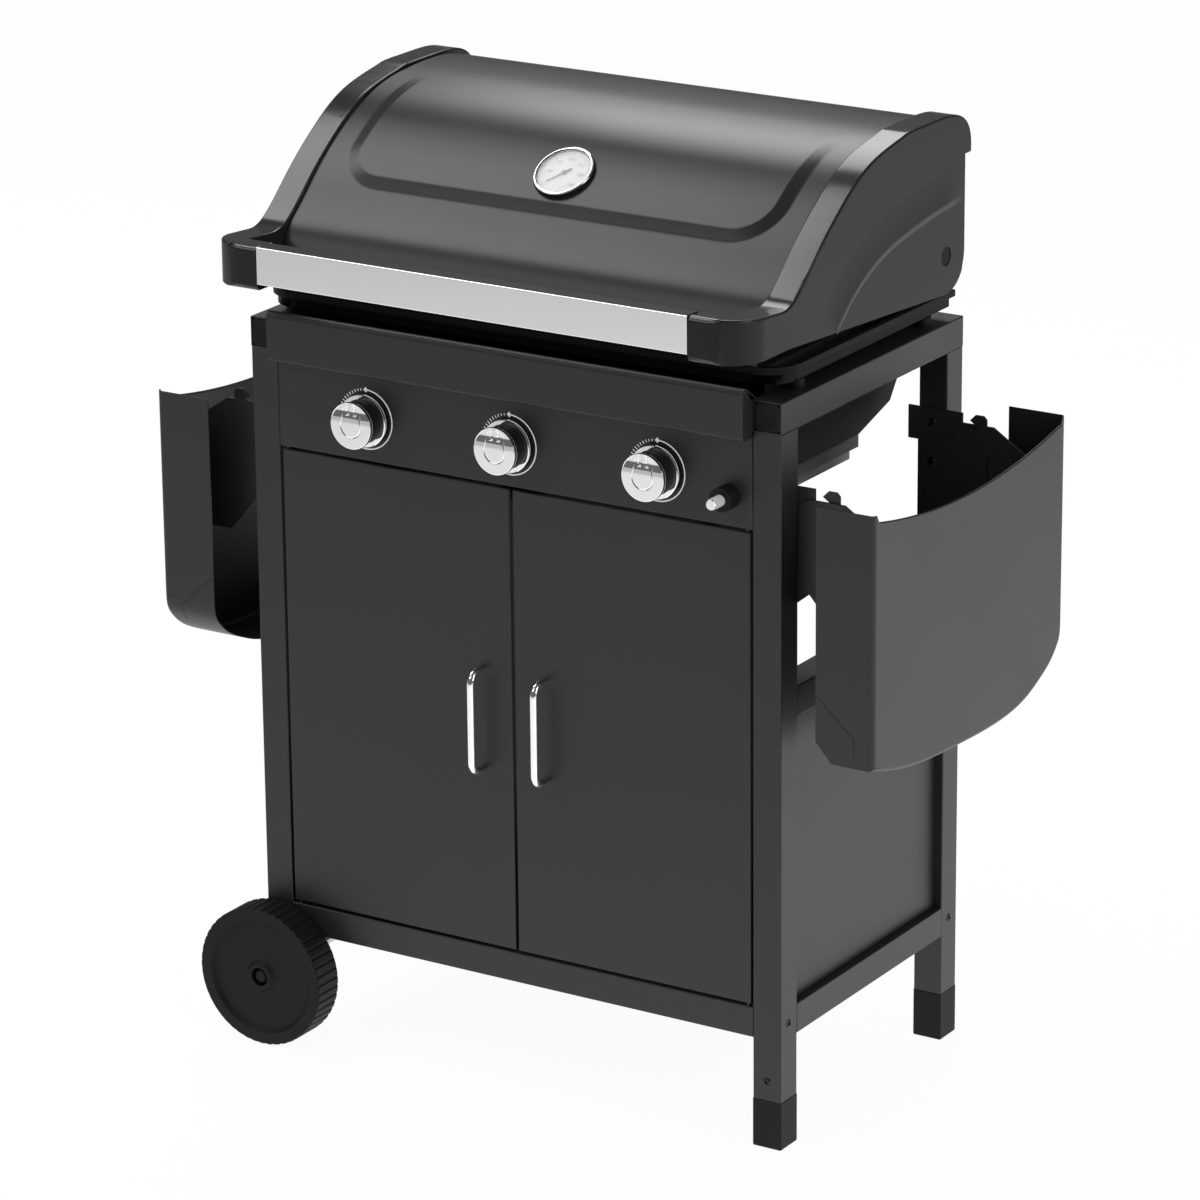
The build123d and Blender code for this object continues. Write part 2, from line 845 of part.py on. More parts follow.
# Spacers that stand the firebox rim on the top rails
with BuildPart() as firebox_spacers:
    for side in (-1, 1):
        for y in (front + spacer_inset, back - spacer_inset):
            rod((side * leg_x, y, rail_top), (0, 0, 1), spacer_radius, rim_low - rail_top)
keep(firebox_spacers, "firebox_spacers")

# Lid hinge brackets: upright ears on the rim's rear corners
ear_x0 = lid_half - lid_wall - ear_inset
with BuildPart() as lid_hinge_brackets:
    for side in (-1, 1):
        with BuildSketch(at_x(side * ear_x0)):
            with Locations((hinge_y, lid_hinge_z)):
                Circle(ear_half)
            outline(
                (hinge_y - ear_half, flange_top), (hinge_y + ear_half, flange_top),
                (hinge_y + ear_half, lid_hinge_z), (hinge_y - ear_half, lid_hinge_z),
            )
        extrude(amount=side * ear_plate)
        foot_x0 = side * (ear_x0 + ear_plate)
        foot_x1 = side * (ear_x0 - ear_foot + ear_plate)
        block(foot_x0, hinge_y - ear_half, flange_top, foot_x1, hinge_y + ear_half, flange_top + box_wall)
        bore_start = (side * ear_x0, hinge_y, lid_hinge_z)
        rod(bore_start, (side, 0, 0), lid_pin_radius + running_fit, ear_plate, Mode.SUBTRACT)
keep(lid_hinge_brackets, "lid_hinge_brackets")

# Burners: tubes from the valve jets through the front wall, closed at the back and stood on a leg
burner_y0 = front + box_front_low - burner_mouth
burner_y1 = front + burner_back
with BuildPart() as burners:
    for x in knob_places.values():
        rod((x, burner_y0, knob_height), (0, 1, 0), burner_radius, burner_y1 - burner_y0)
        leg_low = box_floor + box_wall
        block(
            x - burner_radius / 2, burner_y1 - burner_leg, leg_low,
            x + burner_radius / 2, burner_y1, knob_height,
        )
    for x in knob_places.values():
        bore_length = burner_y1 - burner_y0 - burner_leg
        rod((x, burner_y0, knob_height), (0, 1, 0), burner_radius - burner_wall, bore_length, Mode.SUBTRACT)
keep(burners, "burners")

# Heat tents: folded covers over the burners, laid on the firebox ledges
with BuildPart() as heat_tents:
    for x in knob_places.values():
        tent = [
            (x - tent_half, tent_low + tent_sheet),
            (x, tent_low + tent_rise),
            (x + tent_half, tent_low + tent_sheet),
        ]
        with BuildSketch(at_y(tent_y0 + joint_gap)):
            folded(tent, tent_sheet, Side.RIGHT)
        extrude(amount=tent_y0 + joint_gap - tent_y1)
keep(heat_tents, "heat_tents")

# Cooking grate and griddle: cast plates side by side on the firebox rim
plate_y0 = front + grate_front
plate_y1 = front + grate_back
with BuildPart() as cooking_grate:
    with BuildSketch(at_z(flange_top)):
        frame_ring(-grate_half, plate_y0, -grate_split / 2, plate_y1, grate_frame)
        bars = int((grate_half - 2 * grate_frame) / grate_pitch)
        with Locations((-(grate_half + grate_split / 2) / 2, (plate_y0 + plate_y1) / 2)):
            with GridLocations(grate_pitch, 0, bars, 1):
                Rectangle(grate_bar, plate_y1 - plate_y0 - grate_frame)
    extrude(amount=grate_height)
keep(cooking_grate, "cooking_grate")

with BuildPart() as griddle:
    griddle_x0 = grate_split / 2
    block(griddle_x0, plate_y0, flange_top, grate_half, plate_y1, flange_top + grate_height)
    block(
        griddle_x0 + griddle_wall, plate_y0 + griddle_wall, flange_top + griddle_floor,
        grate_half - griddle_wall, plate_y1 - griddle_wall, flange_top + grate_height, Mode.SUBTRACT,
    )
keep(griddle, "griddle")

# Warming rack: a welded wire shelf on legs that stand on the rim
rack_y0 = front + rack_front
rack_y1 = front + rack_back
with BuildPart() as warming_rack:
    for y in (rack_y0, rack_y1):
        with BuildLine(at_y(y)) as wire:
            FilletPolyline(
                (-rack_half, flange_top), (-rack_half, rack_height),
                (rack_half, rack_height), (rack_half, flange_top), radius=rack_bend,
            )
        with BuildSketch(Plane(origin=wire.line @ 0, z_dir=wire.line % 0)):
            Circle(rack_wire)
        sweep(path=wire.line)
    shelf_half = rack_half - rack_bend - 2 * rack_wire
    bar_pitch = 2 * shelf_half / (rack_bars - 1)
    for index in range(rack_bars):
        bar_start = (-shelf_half + index * bar_pitch, rack_y0 - rack_wire, rack_height + rack_wire)
        rod(bar_start, (0, 1, 0), rack_bar, rack_y1 - rack_y0 + 2 * rack_wire)
keep(warming_rack, "warming_rack")

# Grease tray on runners below the firebox; it pulls out at the back
runner_low = box_floor - runner_drop
tray_y0 = front + tray_front
tray_y1 = front + tray_back
runner_y1 = front + box_back_low
with BuildPart() as tray_runners:
    for side in (-1, 1):
        outer = side * box_half_floor
        block(outer, tray_y0, runner_low, outer - side * runner_sheet, runner_y1, box_floor)
        block(outer, tray_y0, runner_low, outer - side * runner_ledge, runner_y1, runner_low + runner_sheet)
keep(tray_runners, "tray_runners")

tray_flange_low = runner_low + runner_sheet + joint_gap
tray_half = box_half_floor - runner_ledge - joint_gap
flange_half = box_half_floor - runner_sheet - tray_side_gap
with BuildPart() as grease_tray:
    tray_low = tray_flange_low + sheet - tray_depth
    block(-tray_half, tray_y0, tray_low, tray_half, tray_y1, tray_flange_low + sheet)
    block(-flange_half, tray_y0, tray_flange_low, flange_half, tray_y1, tray_flange_low + sheet)
    block(
        sheet - tray_half, tray_y0 + sheet, tray_low + sheet,
        tray_half - sheet, tray_y1 - sheet, tray_flange_low + sheet, Mode.SUBTRACT,
    )
keep(grease_tray, "grease_tray")

# Gas line: a manifold behind the panel, an elbow for the hose at its right end and a valve for each burner
manifold_y = front + panel_sheet + valve_neck + valve_depth / 2
manifold_z = knob_height - manifold_drop
with BuildPart() as gas_manifold:
    rod((-manifold_left, manifold_y, manifold_z), (1, 0, 0), manifold_radius, manifold_left + manifold_right)
keep(gas_manifold, "gas_manifold")

with BuildPart() as gas_inlet:
    rod((manifold_right, manifold_y, manifold_z), (1, 0, 0), inlet_radius, inlet_length)
    spigot_x = manifold_right + inlet_length / 2
    spigot_z = manifold_z - inlet_drop
    rod((spigot_x, manifold_y, manifold_z), (0, 0, -1), inlet_drop_radius, inlet_drop)
    block(
        spigot_x - elbow_half, manifold_y - elbow_half, spigot_z - elbow_half,
        spigot_x + elbow_half, manifold_y + elbow_half, spigot_z + elbow_half,
    )
    rod((spigot_x, manifold_y + elbow_half, spigot_z), (0, 1, 0), spigot_radius, spigot_length)
keep(gas_inlet, "gas_inlet")

valve_y0 = front + panel_sheet
valve_y1 = valve_y0 + valve_neck
valve_y2 = valve_y1 + valve_depth
plunger_y0 = valve_y1
plunger_bore = plunger_length + knob_push + cut_past
with BuildPart() as gas_valves:
    for x in knob_places.values():
        rod((x, valve_y0, knob_height), (0, 1, 0), valve_neck_radius, valve_neck)
        block(
            x - valve_half, valve_y1, manifold_z, x + valve_half, valve_y2, knob_height + valve_top,
        )
        rod((x, valve_y2, knob_height), (0, 1, 0), jet_radius, jet_length)
    for x in knob_places.values():
        bore_depth = valve_neck + plunger_bore
        rod((x, valve_y0, knob_height), (0, 1, 0), plunger_radius + running_fit, bore_depth, Mode.SUBTRACT)
    saddle_start = (-manifold_left, manifold_y, manifold_z)
    saddle_length = manifold_left + manifold_right
    rod(saddle_start, (1, 0, 0), manifold_radius + screw_fit, saddle_length, Mode.SUBTRACT)
keep(gas_valves, "gas_valves")

# Valve plungers, stems and knobs: the knob turns its stem in the plunger, and pushes both in
knob_back = front - knob_clear
knob_front = front - knob_reach
for name, x in knob_places.items():
    socket_depth = stem_tip_length + joint_gap
    with BuildPart() as plunger:
        rod((x, plunger_y0, knob_height), (0, 1, 0), plunger_radius, plunger_length)
        socket_radius = stem_tip_radius + running_fit
        rod((x, plunger_y0, knob_height), (0, 1, 0), socket_radius, socket_depth, Mode.SUBTRACT)
    keep(plunger, f"valve_plunger_{name}")

    stem_y0 = knob_back - stem_in_knob
    with BuildPart() as stem:
        rod((x, stem_y0, knob_height), (0, 1, 0), stem_radius, plunger_y0 - joint_gap - stem_y0)
        rod((x, plunger_y0 - joint_gap, knob_height), (0, 1, 0), stem_tip_radius, stem_tip_length)
    keep(stem, f"valve_stem_{name}")

    section = [
        (0.0, knob_front),
        (knob_face_radius - knob_edge, knob_front),
        (knob_face_radius, knob_front + knob_edge),
        (knob_face_radius, knob_front + knob_face_lip),
        (knob_barrel_radius, knob_front + knob_face_lip + knob_edge),
        (knob_barrel_radius, knob_back - knob_ring_width),
        (knob_ring_radius - knob_edge, knob_back - knob_ring_width),
        (knob_ring_radius, knob_back - knob_ring_width + knob_edge),
        (knob_ring_radius, knob_back),
        (0.0, knob_back),
    ]
    with BuildPart() as knob:
        with BuildSketch(Plane(origin=(x, 0, knob_height), x_dir=(1, 0, 0), z_dir=(0, 0, 1))):
            outline(*section)
        revolve(axis=Axis((x, 0, knob_height), (0, 1, 0)))
        with BuildSketch(at_y(knob_front)):
            with Locations((x, knob_height + knob_face_radius - knob_mark_length / 2)):
                Rectangle(knob_mark_width, knob_mark_length)
            with Locations((x, knob_height + knob_face_radius - knob_mark_length)):
                Circle(knob_mark_width / 2)
        extrude(amount=-knob_mark_depth, mode=Mode.SUBTRACT)
        with BuildSketch(at_y(knob_back)):
            with Locations((x, knob_height)):
                Circle(knob_barrel_radius - knob_wall)
                Circle(knob_hub_radius, mode=Mode.SUBTRACT)
        extrude(amount=knob_reach - knob_clear - knob_wall, mode=Mode.SUBTRACT)
        bore_radius = stem_radius + screw_fit
        rod((x, knob_back, knob_height), (0, -1, 0), bore_radius, stem_in_knob + joint_gap, Mode.SUBTRACT)
    keep(knob, f"knob_{name}")

# Igniter: a deep collar through the panel with a sprung push button
igniter_bore = igniter_button + running_fit
button_depth = igniter_depth - igniter_push - igniter_floor
with BuildPart() as igniter_bezel:
    rod((igniter_x, front, igniter_height), (0, -1, 0), igniter_flange, igniter_flange_height)
    rod((igniter_x, front, igniter_height), (0, 1, 0), igniter_body, igniter_depth)
    bezel_face = (igniter_x, front - igniter_flange_height, igniter_height)
    bore_depth = igniter_flange_height + igniter_depth - igniter_floor
    rod(bezel_face, (0, 1, 0), igniter_bore, bore_depth, Mode.SUBTRACT)
keep(igniter_bezel, "igniter_bezel")

with BuildPart() as igniter_push_button:
    button_tip = (igniter_x, front - igniter_reach, igniter_height)
    rod(button_tip, (0, 1, 0), igniter_button, igniter_reach + button_depth - igniter_push)
    chamfer(igniter_push_button.edges().group_by(Axis.Y)[0], length=knob_edge)
keep(igniter_push_button, "igniter_button")


def crown_points(drop):
    """Points along the lid's crown, let down by drop towards the inside of the lid."""
    crown_start = front + crown_setback
    run = front + lid_crest - crown_start
    rise = lid_top - crown_foot
    return [(crown_start + t * run + drop * (1 - t), crown_foot + s * rise - drop) for t, s in crown_shape]


def lid_side():
    """The outline of a lid end seen from the side, in the sketch in hand."""
    y_back = front + lid_back
    y_lip = y_back + lid_lip
    y_nose = front - handle_reach
    bottom = (hinge_y, lid_low)
    lip_top = (y_lip, lid_lip_high)
    top = crown_points(0)
    with BuildLine() as edge:
        crown = Spline(*top, tangents=((1, -0.05), (1, 0)))
        Spline(crown @ 1, lip_top, tangents=((1, 0), (0.1, -1)))
        Line(lip_top, (y_lip, lid_lip_low))
        Line((y_lip, lid_lip_low), (y_back, lid_lip_low))
        Line((y_back, lid_lip_low), (y_back, lid_hinge_z))
        middle = (hinge_y + lid_corner * diagonal, lid_hinge_z - lid_corner * diagonal)
        ThreePointArc((y_back, lid_hinge_z), middle, bottom)
        Polyline(
            bottom,
            (front + lid_front_foot, nose_low),
            (y_nose + handle_bevel, nose_low),
            (y_nose, nose_low + handle_bevel),
            (y_nose, nose_high - handle_bevel),
            (y_nose + handle_bevel, nose_high),
            crown @ 0,
        )
    make_face(edge.edges())


def lid_pocket():
    """The hollow of a lid end seen from the side, open below and behind, in the sketch in hand."""
    y_back = front + lid_back
    top = crown_points(lid_skin)
    wall = y_back - lid_skin
    with BuildLine() as edge:
        crown = Spline(*top[1:], tangents=((1, 0.6), (1, 0)))
        shoulder = (wall, lid_lip_high - 2 * lid_skin)
        Spline(crown @ 1, shoulder, tangents=((1, 0), (0.1, -1)))
        Polyline(
            shoulder,
            (wall, lid_flange_back),
            (y_back + cut_past, lid_flange_back),
            (y_back + cut_past, lid_low - cut_past),
            (front + lid_front_foot + lid_skin, lid_low - cut_past),
            (front + lid_front_foot + lid_skin, nose_low + lid_skin),
            crown @ 0,
        )
    make_face(edge.edges())


def lid_plan(side, inset, y_end):
    """A lid end seen from above, drawn in by inset and run back to y_end, in the sketch in hand."""
    y_nose = front - handle_reach + inset
    y_arm = front - handle_reach + nose_arm - inset
    x_tip = side * (handle_half + inset)
    x_band = side * (band_inner + inset)
    x_side = side * (lid_half - inset)
    arc_x = side * (lid_half - nose_corner)
    arc_y = front - handle_reach + nose_corner
    arc_turn = diagonal * (nose_corner - inset)
    with BuildLine() as edge:
        Polyline(
            (arc_x, y_nose), (x_tip, y_nose), (x_tip, y_arm), (x_band, y_arm),
            (x_band, y_end), (x_side, y_end), (x_side, arc_y),
        )
        ThreePointArc((x_side, arc_y), (arc_x + side * arc_turn, arc_y - arc_turn), (arc_x, y_nose))
    make_face(edge.edges())


# Lid ends: hollow castings with a band over the sheet's edge and a nose that turns in to the handle
def lid_end(side):
    """One lid end: side is -1 for the left and 1 for the right."""
    with BuildPart() as end:
        with BuildSketch(at_x(side * handle_half)):
            lid_side()
        extrude(amount=side * (lid_half - handle_half))
        with BuildSketch(at_z(lid_low - cut_past)):
            lid_plan(side, 0, back + tube)
        extrude(amount=lid_top - lid_low + 2 * cut_past, mode=Mode.INTERSECT)
        with BuildSketch(at_z(nose_low)):
            lid_plan(side, lid_wall, front)
        extrude(amount=nose_high - nose_low - nose_roof, mode=Mode.SUBTRACT)
        with BuildSketch(at_x(side * band_inner)):
            lid_pocket()
        extrude(amount=side * (side_wall_x - band_inner), mode=Mode.SUBTRACT)
        head_seat = (side * (lid_half - lid_pin_recess), hinge_y, lid_hinge_z)
        rod(head_seat, (side, 0, 0), lid_pin_head + lid_pin_space, lid_pin_recess, Mode.SUBTRACT)
        bore_start = (side * side_wall_x, hinge_y, lid_hinge_z)
        rod(bore_start, (side, 0, 0), lid_pin_radius + running_fit, lid_wall, Mode.SUBTRACT)
    return end


keep(lid_end(-1), "lid_end_left")
keep(lid_end(1), "lid_end_right")

# Lid hinge pins: headed pins through the lid ends and the brackets' ears
with BuildPart() as lid_hinge_pins:
    for side in (-1, 1):
        head_x = side * (lid_half - lid_pin_recess)
        rod((head_x, hinge_y, lid_hinge_z), (side, 0, 0), lid_pin_head, lid_pin_head_height)
        rod((head_x, hinge_y, lid_hinge_z), (-side, 0, 0), lid_pin_radius, lid_pin_reach)
keep(lid_hinge_pins, "lid_hinge_pins")

# Lid sheet: one rolled sheet from the front edge over the crown and down the back
sheet_half = band_inner - joint_gap
sheet_front = front + lid_sheet_front
sheet_rear = front + lid_back - lid_sheet_drop


def sheet_line(depth):
    """The lid sheet's line from the front edge to the back edge, depth below its outside."""
    crown = crown_points(lid_sheet_drop + depth)[1:]
    rear = sheet_rear - depth
    rise = Spline((sheet_front + depth, lid_low), crown[0], tangents=((0.05, 1), (1, 0.75)))
    top = Spline(*crown, tangents=((1, 0.75), (1, 0)))
    turn = Spline(crown[-1], (rear, lid_lip_high - lid_skin - depth), tangents=((1, 0), (0, -1)))
    tail = Line(turn @ 1, (rear, lid_sheet_back))
    return rise, top, turn, tail


with BuildLine(mode=Mode.PRIVATE):
    sheet_top = sheet_line(0)[1]
gauge_spot = sheet_top @ gauge_along
gauge_slope = sheet_top % gauge_along
gauge_normal = (0, -gauge_slope.Y, gauge_slope.X)
gauge_centre = Vector(0, gauge_spot.X, gauge_spot.Y)


def gauge_level(height):
    """A plane across the gauge at a height above the lid sheet."""
    centre = gauge_centre + Vector(*gauge_normal) * height
    return Plane(origin=centre, x_dir=(1, 0, 0), z_dir=gauge_normal)


with BuildPart() as lid_sheet:
    with BuildSketch(at_x(-sheet_half)):
        with BuildLine():
            outside = sheet_line(0)
            inside = sheet_line(lid_sheet_wall)
            Line(outside[0] @ 0, inside[0] @ 0)
            Line(outside[-1] @ 1, inside[-1] @ 1)
        make_face()
    extrude(amount=2 * sheet_half)
    with BuildSketch(gauge_level(lid_sheet_wall)):
        Circle(gauge_probe_radius + joint_gap)
    extrude(amount=-4 * lid_sheet_wall, mode=Mode.SUBTRACT)
keep(lid_sheet, "lid_sheet")

# Lid handle: an aluminium channel between the noses
with BuildPart() as lid_handle:
    grip_y = front - handle_reach
    with BuildSketch(at_x(-handle_half)):
        channel = [
            (grip_y + handle_depth, handle_low),
            (grip_y, handle_low),
            (grip_y, nose_high),
            (grip_y + handle_depth, nose_high),
        ]
        folded(channel, handle_wall, Side.RIGHT)
    extrude(amount=2 * handle_half)
keep(lid_handle, "lid_handle")

# Gauge: a chromed case with its probe through the lid, a dial, a needle on a pin and a glass
with BuildPart() as gauge_case:
    with BuildSketch(gauge_level(gauge_lift)):
        Circle(gauge_radius)
    extrude(amount=gauge_height)
    with BuildSketch(gauge_level(gauge_lift + gauge_base)):
        Circle(gauge_radius - gauge_bezel)
    extrude(amount=gauge_height, mode=Mode.SUBTRACT)
    with BuildSketch(gauge_level(gauge_lift)):
        Circle(gauge_probe_radius)
    extrude(amount=-gauge_probe_length)
    with BuildSketch(gauge_level(gauge_lift + gauge_base)):
        Circle(needle_pin + running_fit)
    extrude(amount=-2 * gauge_base, mode=Mode.SUBTRACT)
keep(gauge_case, "gauge_case")

dial_radius = gauge_radius - gauge_bezel - running_fit
with BuildPart() as gauge_dial:
    with BuildSketch(gauge_level(gauge_lift + gauge_base)):
        Circle(dial_radius)
        Circle(needle_pin + running_fit, mode=Mode.SUBTRACT)
    extrude(amount=gauge_dial_sheet)
keep(gauge_dial, "gauge_dial")

needle_level = gauge_lift + gauge_base + 2 * gauge_dial_sheet
with BuildPart() as gauge_needle:
    blade = [(0, needle_length), (-needle_width / 2, -needle_tail), (needle_width / 2, -needle_tail)]
    with BuildSketch(gauge_level(needle_level)):
        outline(*[Vector(x, y).rotate(Axis.Z, needle_rest) for x, y in blade])
        Circle(needle_hub)
    extrude(amount=needle_sheet)
    with BuildSketch(gauge_level(needle_level)):
        Circle(needle_pin)
    extrude(amount=-gauge_base - 2 * gauge_dial_sheet)
keep(gauge_needle, "gauge_needle")

with BuildPart() as gauge_glass:
    with BuildSketch(gauge_level(gauge_lift + gauge_height - gauge_glass_sink)):
        Circle(dial_radius)
    extrude(amount=-gauge_glass_sheet)
keep(gauge_glass, "gauge_glass")


# Table brackets: plates on the legs with a tab, a pivot hole and an open hook notch
def bracket_outline(side):
    """A bracket's shape seen from the front, in the sketch in hand."""
    notch_left = bracket_outer - notch_reach
    hook = notch_width
    outline(*[(side * x, z) for x, z in (
        (bracket_inner, bracket_top),
        (bracket_inner, bracket_tab_low),
        (inner_x, bracket_tab_low),
        (inner_x, bracket_low),
        (outer_x, bracket_low),
        (bracket_outer, bracket_low + bracket_slope),
        (bracket_outer, bracket_top - bracket_corner),
        (bracket_outer - bracket_corner, bracket_top),
        (bracket_outer - 2 * hook, bracket_top),
        (bracket_outer - 3 * hook, bracket_top - hook),
        (bracket_outer - 1.5 * hook, bracket_top - 2 * hook),
        (bracket_outer - 2 * hook, bracket_top - 2.5 * hook),
        (notch_left, bracket_top - 2 * hook),
        (notch_left, bracket_top),
    )])
    with Locations((side * pivot_x, pivot_z)):
        Circle(pivot_radius + running_fit, mode=Mode.SUBTRACT)
    with Locations(*[(side * leg_x, z) for z in bracket_bolt_heights]):
        Circle(screw_radius + screw_fit, mode=Mode.SUBTRACT)


with BuildPart() as table_brackets:
    for side in (-1, 1):
        for start, depth in ((front + tube, -bracket_sheet), (back - tube, bracket_sheet)):
            with BuildSketch(at_y(start)):
                bracket_outline(side)
            extrude(amount=depth)
keep(table_brackets, "table_brackets")


# Folding side tables: sheets with skirts on three sides, hung flat against the cart. Both are one part:
# the left table is the right one turned about, with its square corner at the back
table_y0 = front - table_overhang
table_y1 = back + table_overhang


def turned(side, y):
    """The depth on the table of one side that lies at depth y on the right table."""
    return middle_y + side * (y - middle_y)


def table_outline(side, inset, top):
    """The table seen from the side, drawn in at its ends and its lower edge by inset."""
    y0 = table_y0 + inset
    y1 = table_y1 - inset
    near = turned(side, y0)
    far = turned(side, y1)
    shape = [(y0 + t * (y1 - y0), table_low + inset + s * table_bulge) for t, s in table_edge_shape]
    with BuildLine() as edge:
        low = Spline(*[(turned(side, y), z) for y, z in shape], tangents=((side, -0.3), (0, 1)))
        Line(low @ 0, (near, top))
        if inset:
            Line((near, top), (far, top))
        else:
            ear_a = (turned(side, y0 + table_ear_width), table_top)
            ear_b = (turned(side, y1 - table_ear_width), table_top)
            Polyline((near, top), (turned(side, y0 + table_ear_width / 2), top), ear_a)
            ThreePointArc(ear_a, (middle_y, table_top - table_top_sag), ear_b)
            Polyline(ear_b, (turned(side, y1 - table_ear_width / 2), top), (far, top))
        Line((far, top), low @ 1)
    make_face(edge.edges())


def side_table(side):
    """One folded table: side is -1 for the left and 1 for the right."""
    with BuildPart() as table:
        with BuildSketch(at_x(side * table_face)):
            table_outline(side, 0, table_top + table_ear)
        extrude(amount=-side * table_skirt)
        with BuildSketch(at_x(side * (table_face - sheet))):
            table_outline(side, sheet, table_top + table_ear + cut_past)
        extrude(amount=-side * table_skirt, mode=Mode.SUBTRACT)
        skirt_edge = table_face - table_skirt
        cut_top = table_low + skirt_cut_rise
        with BuildSketch(at_y(turned(side, table_y0))):
            outline(*[(side * x, z) for x, z in (
                (skirt_edge, cut_top),
                (skirt_edge + skirt_cut_depth, cut_top - skirt_cut_fall),
                (skirt_edge + skirt_cut_depth, table_low),
                (skirt_edge, table_low),
            )])
        extrude(amount=-side * skirt_cut_length, mode=Mode.SUBTRACT)
    return table


keep(side_table(-1), "table_left")
keep(side_table(1), "table_right")


# Table hangers: angle plates inside the table with a stud that turns in the bracket
def table_hangers(side):
    """The pair of hangers of one table: side is -1 for the left and 1 for the right."""
    face_x = table_face - sheet
    rise = pivot_z + hanger_eye
    with BuildPart() as hangers:
        for plate_face, outward in ((front + tube - joint_gap, -1), (back - tube + joint_gap, 1)):
            with BuildSketch(at_y(plate_face)):
                outline(*[(side * x, z) for x, z in (
                    (pivot_x - hanger_eye, pivot_z - 2 * bracket_slope),
                    (pivot_x - hanger_eye, pivot_z),
                    (pivot_x, rise),
                    (pivot_x + bracket_slope, rise),
                    (face_x, rise - bracket_slope),
                    (face_x, hanger_low),
                    (pivot_x + bracket_slope, hanger_low),
                )])
                with Locations((side * pivot_x, pivot_z)):
                    Circle(hanger_eye)
            extrude(amount=-outward * hanger_sheet)
            flange_y = plate_face + outward * hanger_flange
            flange_x = side * (face_x - hanger_sheet)
            block(side * face_x, plate_face, hanger_low, flange_x, flange_y, rise - bracket_slope)
            inward = (0, -outward, 0)
            stud_length = joint_gap + bracket_sheet + joint_gap
            rod((side * pivot_x, plate_face, pivot_z), inward, pivot_radius, stud_length)
            head_y = plate_face - outward * stud_length
            rod((side * pivot_x, head_y, pivot_z), inward, pivot_head_radius, pivot_head)
    return hangers


keep(table_hangers(-1), "table_hangers_left")
keep(table_hangers(1), "table_hangers_right")
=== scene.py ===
import bpy
import bmesh
import json
import math
from mathutils import Matrix, Quaternion, Vector
from mathutils.bvhtree import BVHTree

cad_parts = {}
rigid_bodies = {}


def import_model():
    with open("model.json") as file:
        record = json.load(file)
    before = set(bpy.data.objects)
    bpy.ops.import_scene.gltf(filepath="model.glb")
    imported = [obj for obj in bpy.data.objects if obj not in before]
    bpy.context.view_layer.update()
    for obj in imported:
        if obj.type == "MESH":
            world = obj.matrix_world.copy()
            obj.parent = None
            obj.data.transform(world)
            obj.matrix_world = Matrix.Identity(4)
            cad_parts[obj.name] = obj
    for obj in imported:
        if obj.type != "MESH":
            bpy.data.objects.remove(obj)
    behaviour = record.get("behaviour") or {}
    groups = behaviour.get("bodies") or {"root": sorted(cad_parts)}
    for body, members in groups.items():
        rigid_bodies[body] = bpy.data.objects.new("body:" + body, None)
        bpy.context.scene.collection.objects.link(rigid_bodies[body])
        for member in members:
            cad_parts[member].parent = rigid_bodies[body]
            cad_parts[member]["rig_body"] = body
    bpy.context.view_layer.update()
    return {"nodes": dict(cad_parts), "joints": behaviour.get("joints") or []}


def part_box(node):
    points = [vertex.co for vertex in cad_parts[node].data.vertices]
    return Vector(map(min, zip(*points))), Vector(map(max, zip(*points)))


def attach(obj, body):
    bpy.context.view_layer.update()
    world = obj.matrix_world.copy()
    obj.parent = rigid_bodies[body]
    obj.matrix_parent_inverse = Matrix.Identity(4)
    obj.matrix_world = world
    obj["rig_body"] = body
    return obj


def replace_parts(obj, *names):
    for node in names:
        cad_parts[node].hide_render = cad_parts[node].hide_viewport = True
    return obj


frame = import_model()
nodes = frame["nodes"]

# The studio: a white room with a pale floor and a long lens before the object's right corner. One soft light
# hangs behind the object and one over it, so that they show in its lid; one stands before it and one beside.
scene = bpy.context.scene
scene.view_settings.view_transform = "Standard"


def linked(name, data):
    """A new object in the scene, of a mesh, curve, lamp or lens."""
    thing = bpy.data.objects.new(name, data)
    scene.collection.objects.link(thing)
    return thing


lens = bpy.data.cameras.new("camera")
lens.sensor_width = 36.0
lens.lens = 168.98
lens.clip_end = 60.0
camera = linked("camera", lens)
scene.camera = camera
turn = math.radians(32.248)
dip = math.radians(18.551)
roll = math.radians(-0.546)
look = Vector((-math.sin(turn) * math.cos(dip), math.cos(turn) * math.cos(dip), -math.sin(dip)))
camera.rotation_mode = "QUATERNION"
camera.rotation_quaternion = look.to_track_quat("-Z", "Y") @ Quaternion((0, 0, 1), roll)
camera.location = (3.1817, -5.0442, 2.5260)


class Signal:
    """A value on its way through a node tree; sums on it add Math nodes behind it."""

    def __init__(self, tree, socket=None):
        self.tree = tree
        self.socket = socket

    def node(self, kind, settings=None, values=None, out=0):
        """Adds a node of a kind with its settings, then its sockets' values or links."""
        made = self.tree.nodes.new(kind)
        for name, value in (settings or {}).items():
            setattr(made, name, value)
        for key, value in (values or {}).items():
            if isinstance(value, Signal):
                self.tree.links.new(value.socket, made.inputs[key])
            else:
                made.inputs[key].default_value = value
        return Signal(self.tree, made.outputs[out])

    def math(self, operation, *values):
        return self.node("ShaderNodeMath", {"operation": operation}, dict(enumerate(values)))

    def __add__(self, other):
        return self.math("ADD", self, other)

    def __mul__(self, other):
        return self.math("MULTIPLY", self, other)

    def __truediv__(self, other):
        return self.math("DIVIDE", self, other)

    __radd__ = __add__
    __rmul__ = __mul__

    def reach(self, kind, socket):
        """Ends the tree in an output node of a kind."""
        self.tree.links.new(self.socket, self.tree.nodes.new(kind).inputs[socket])


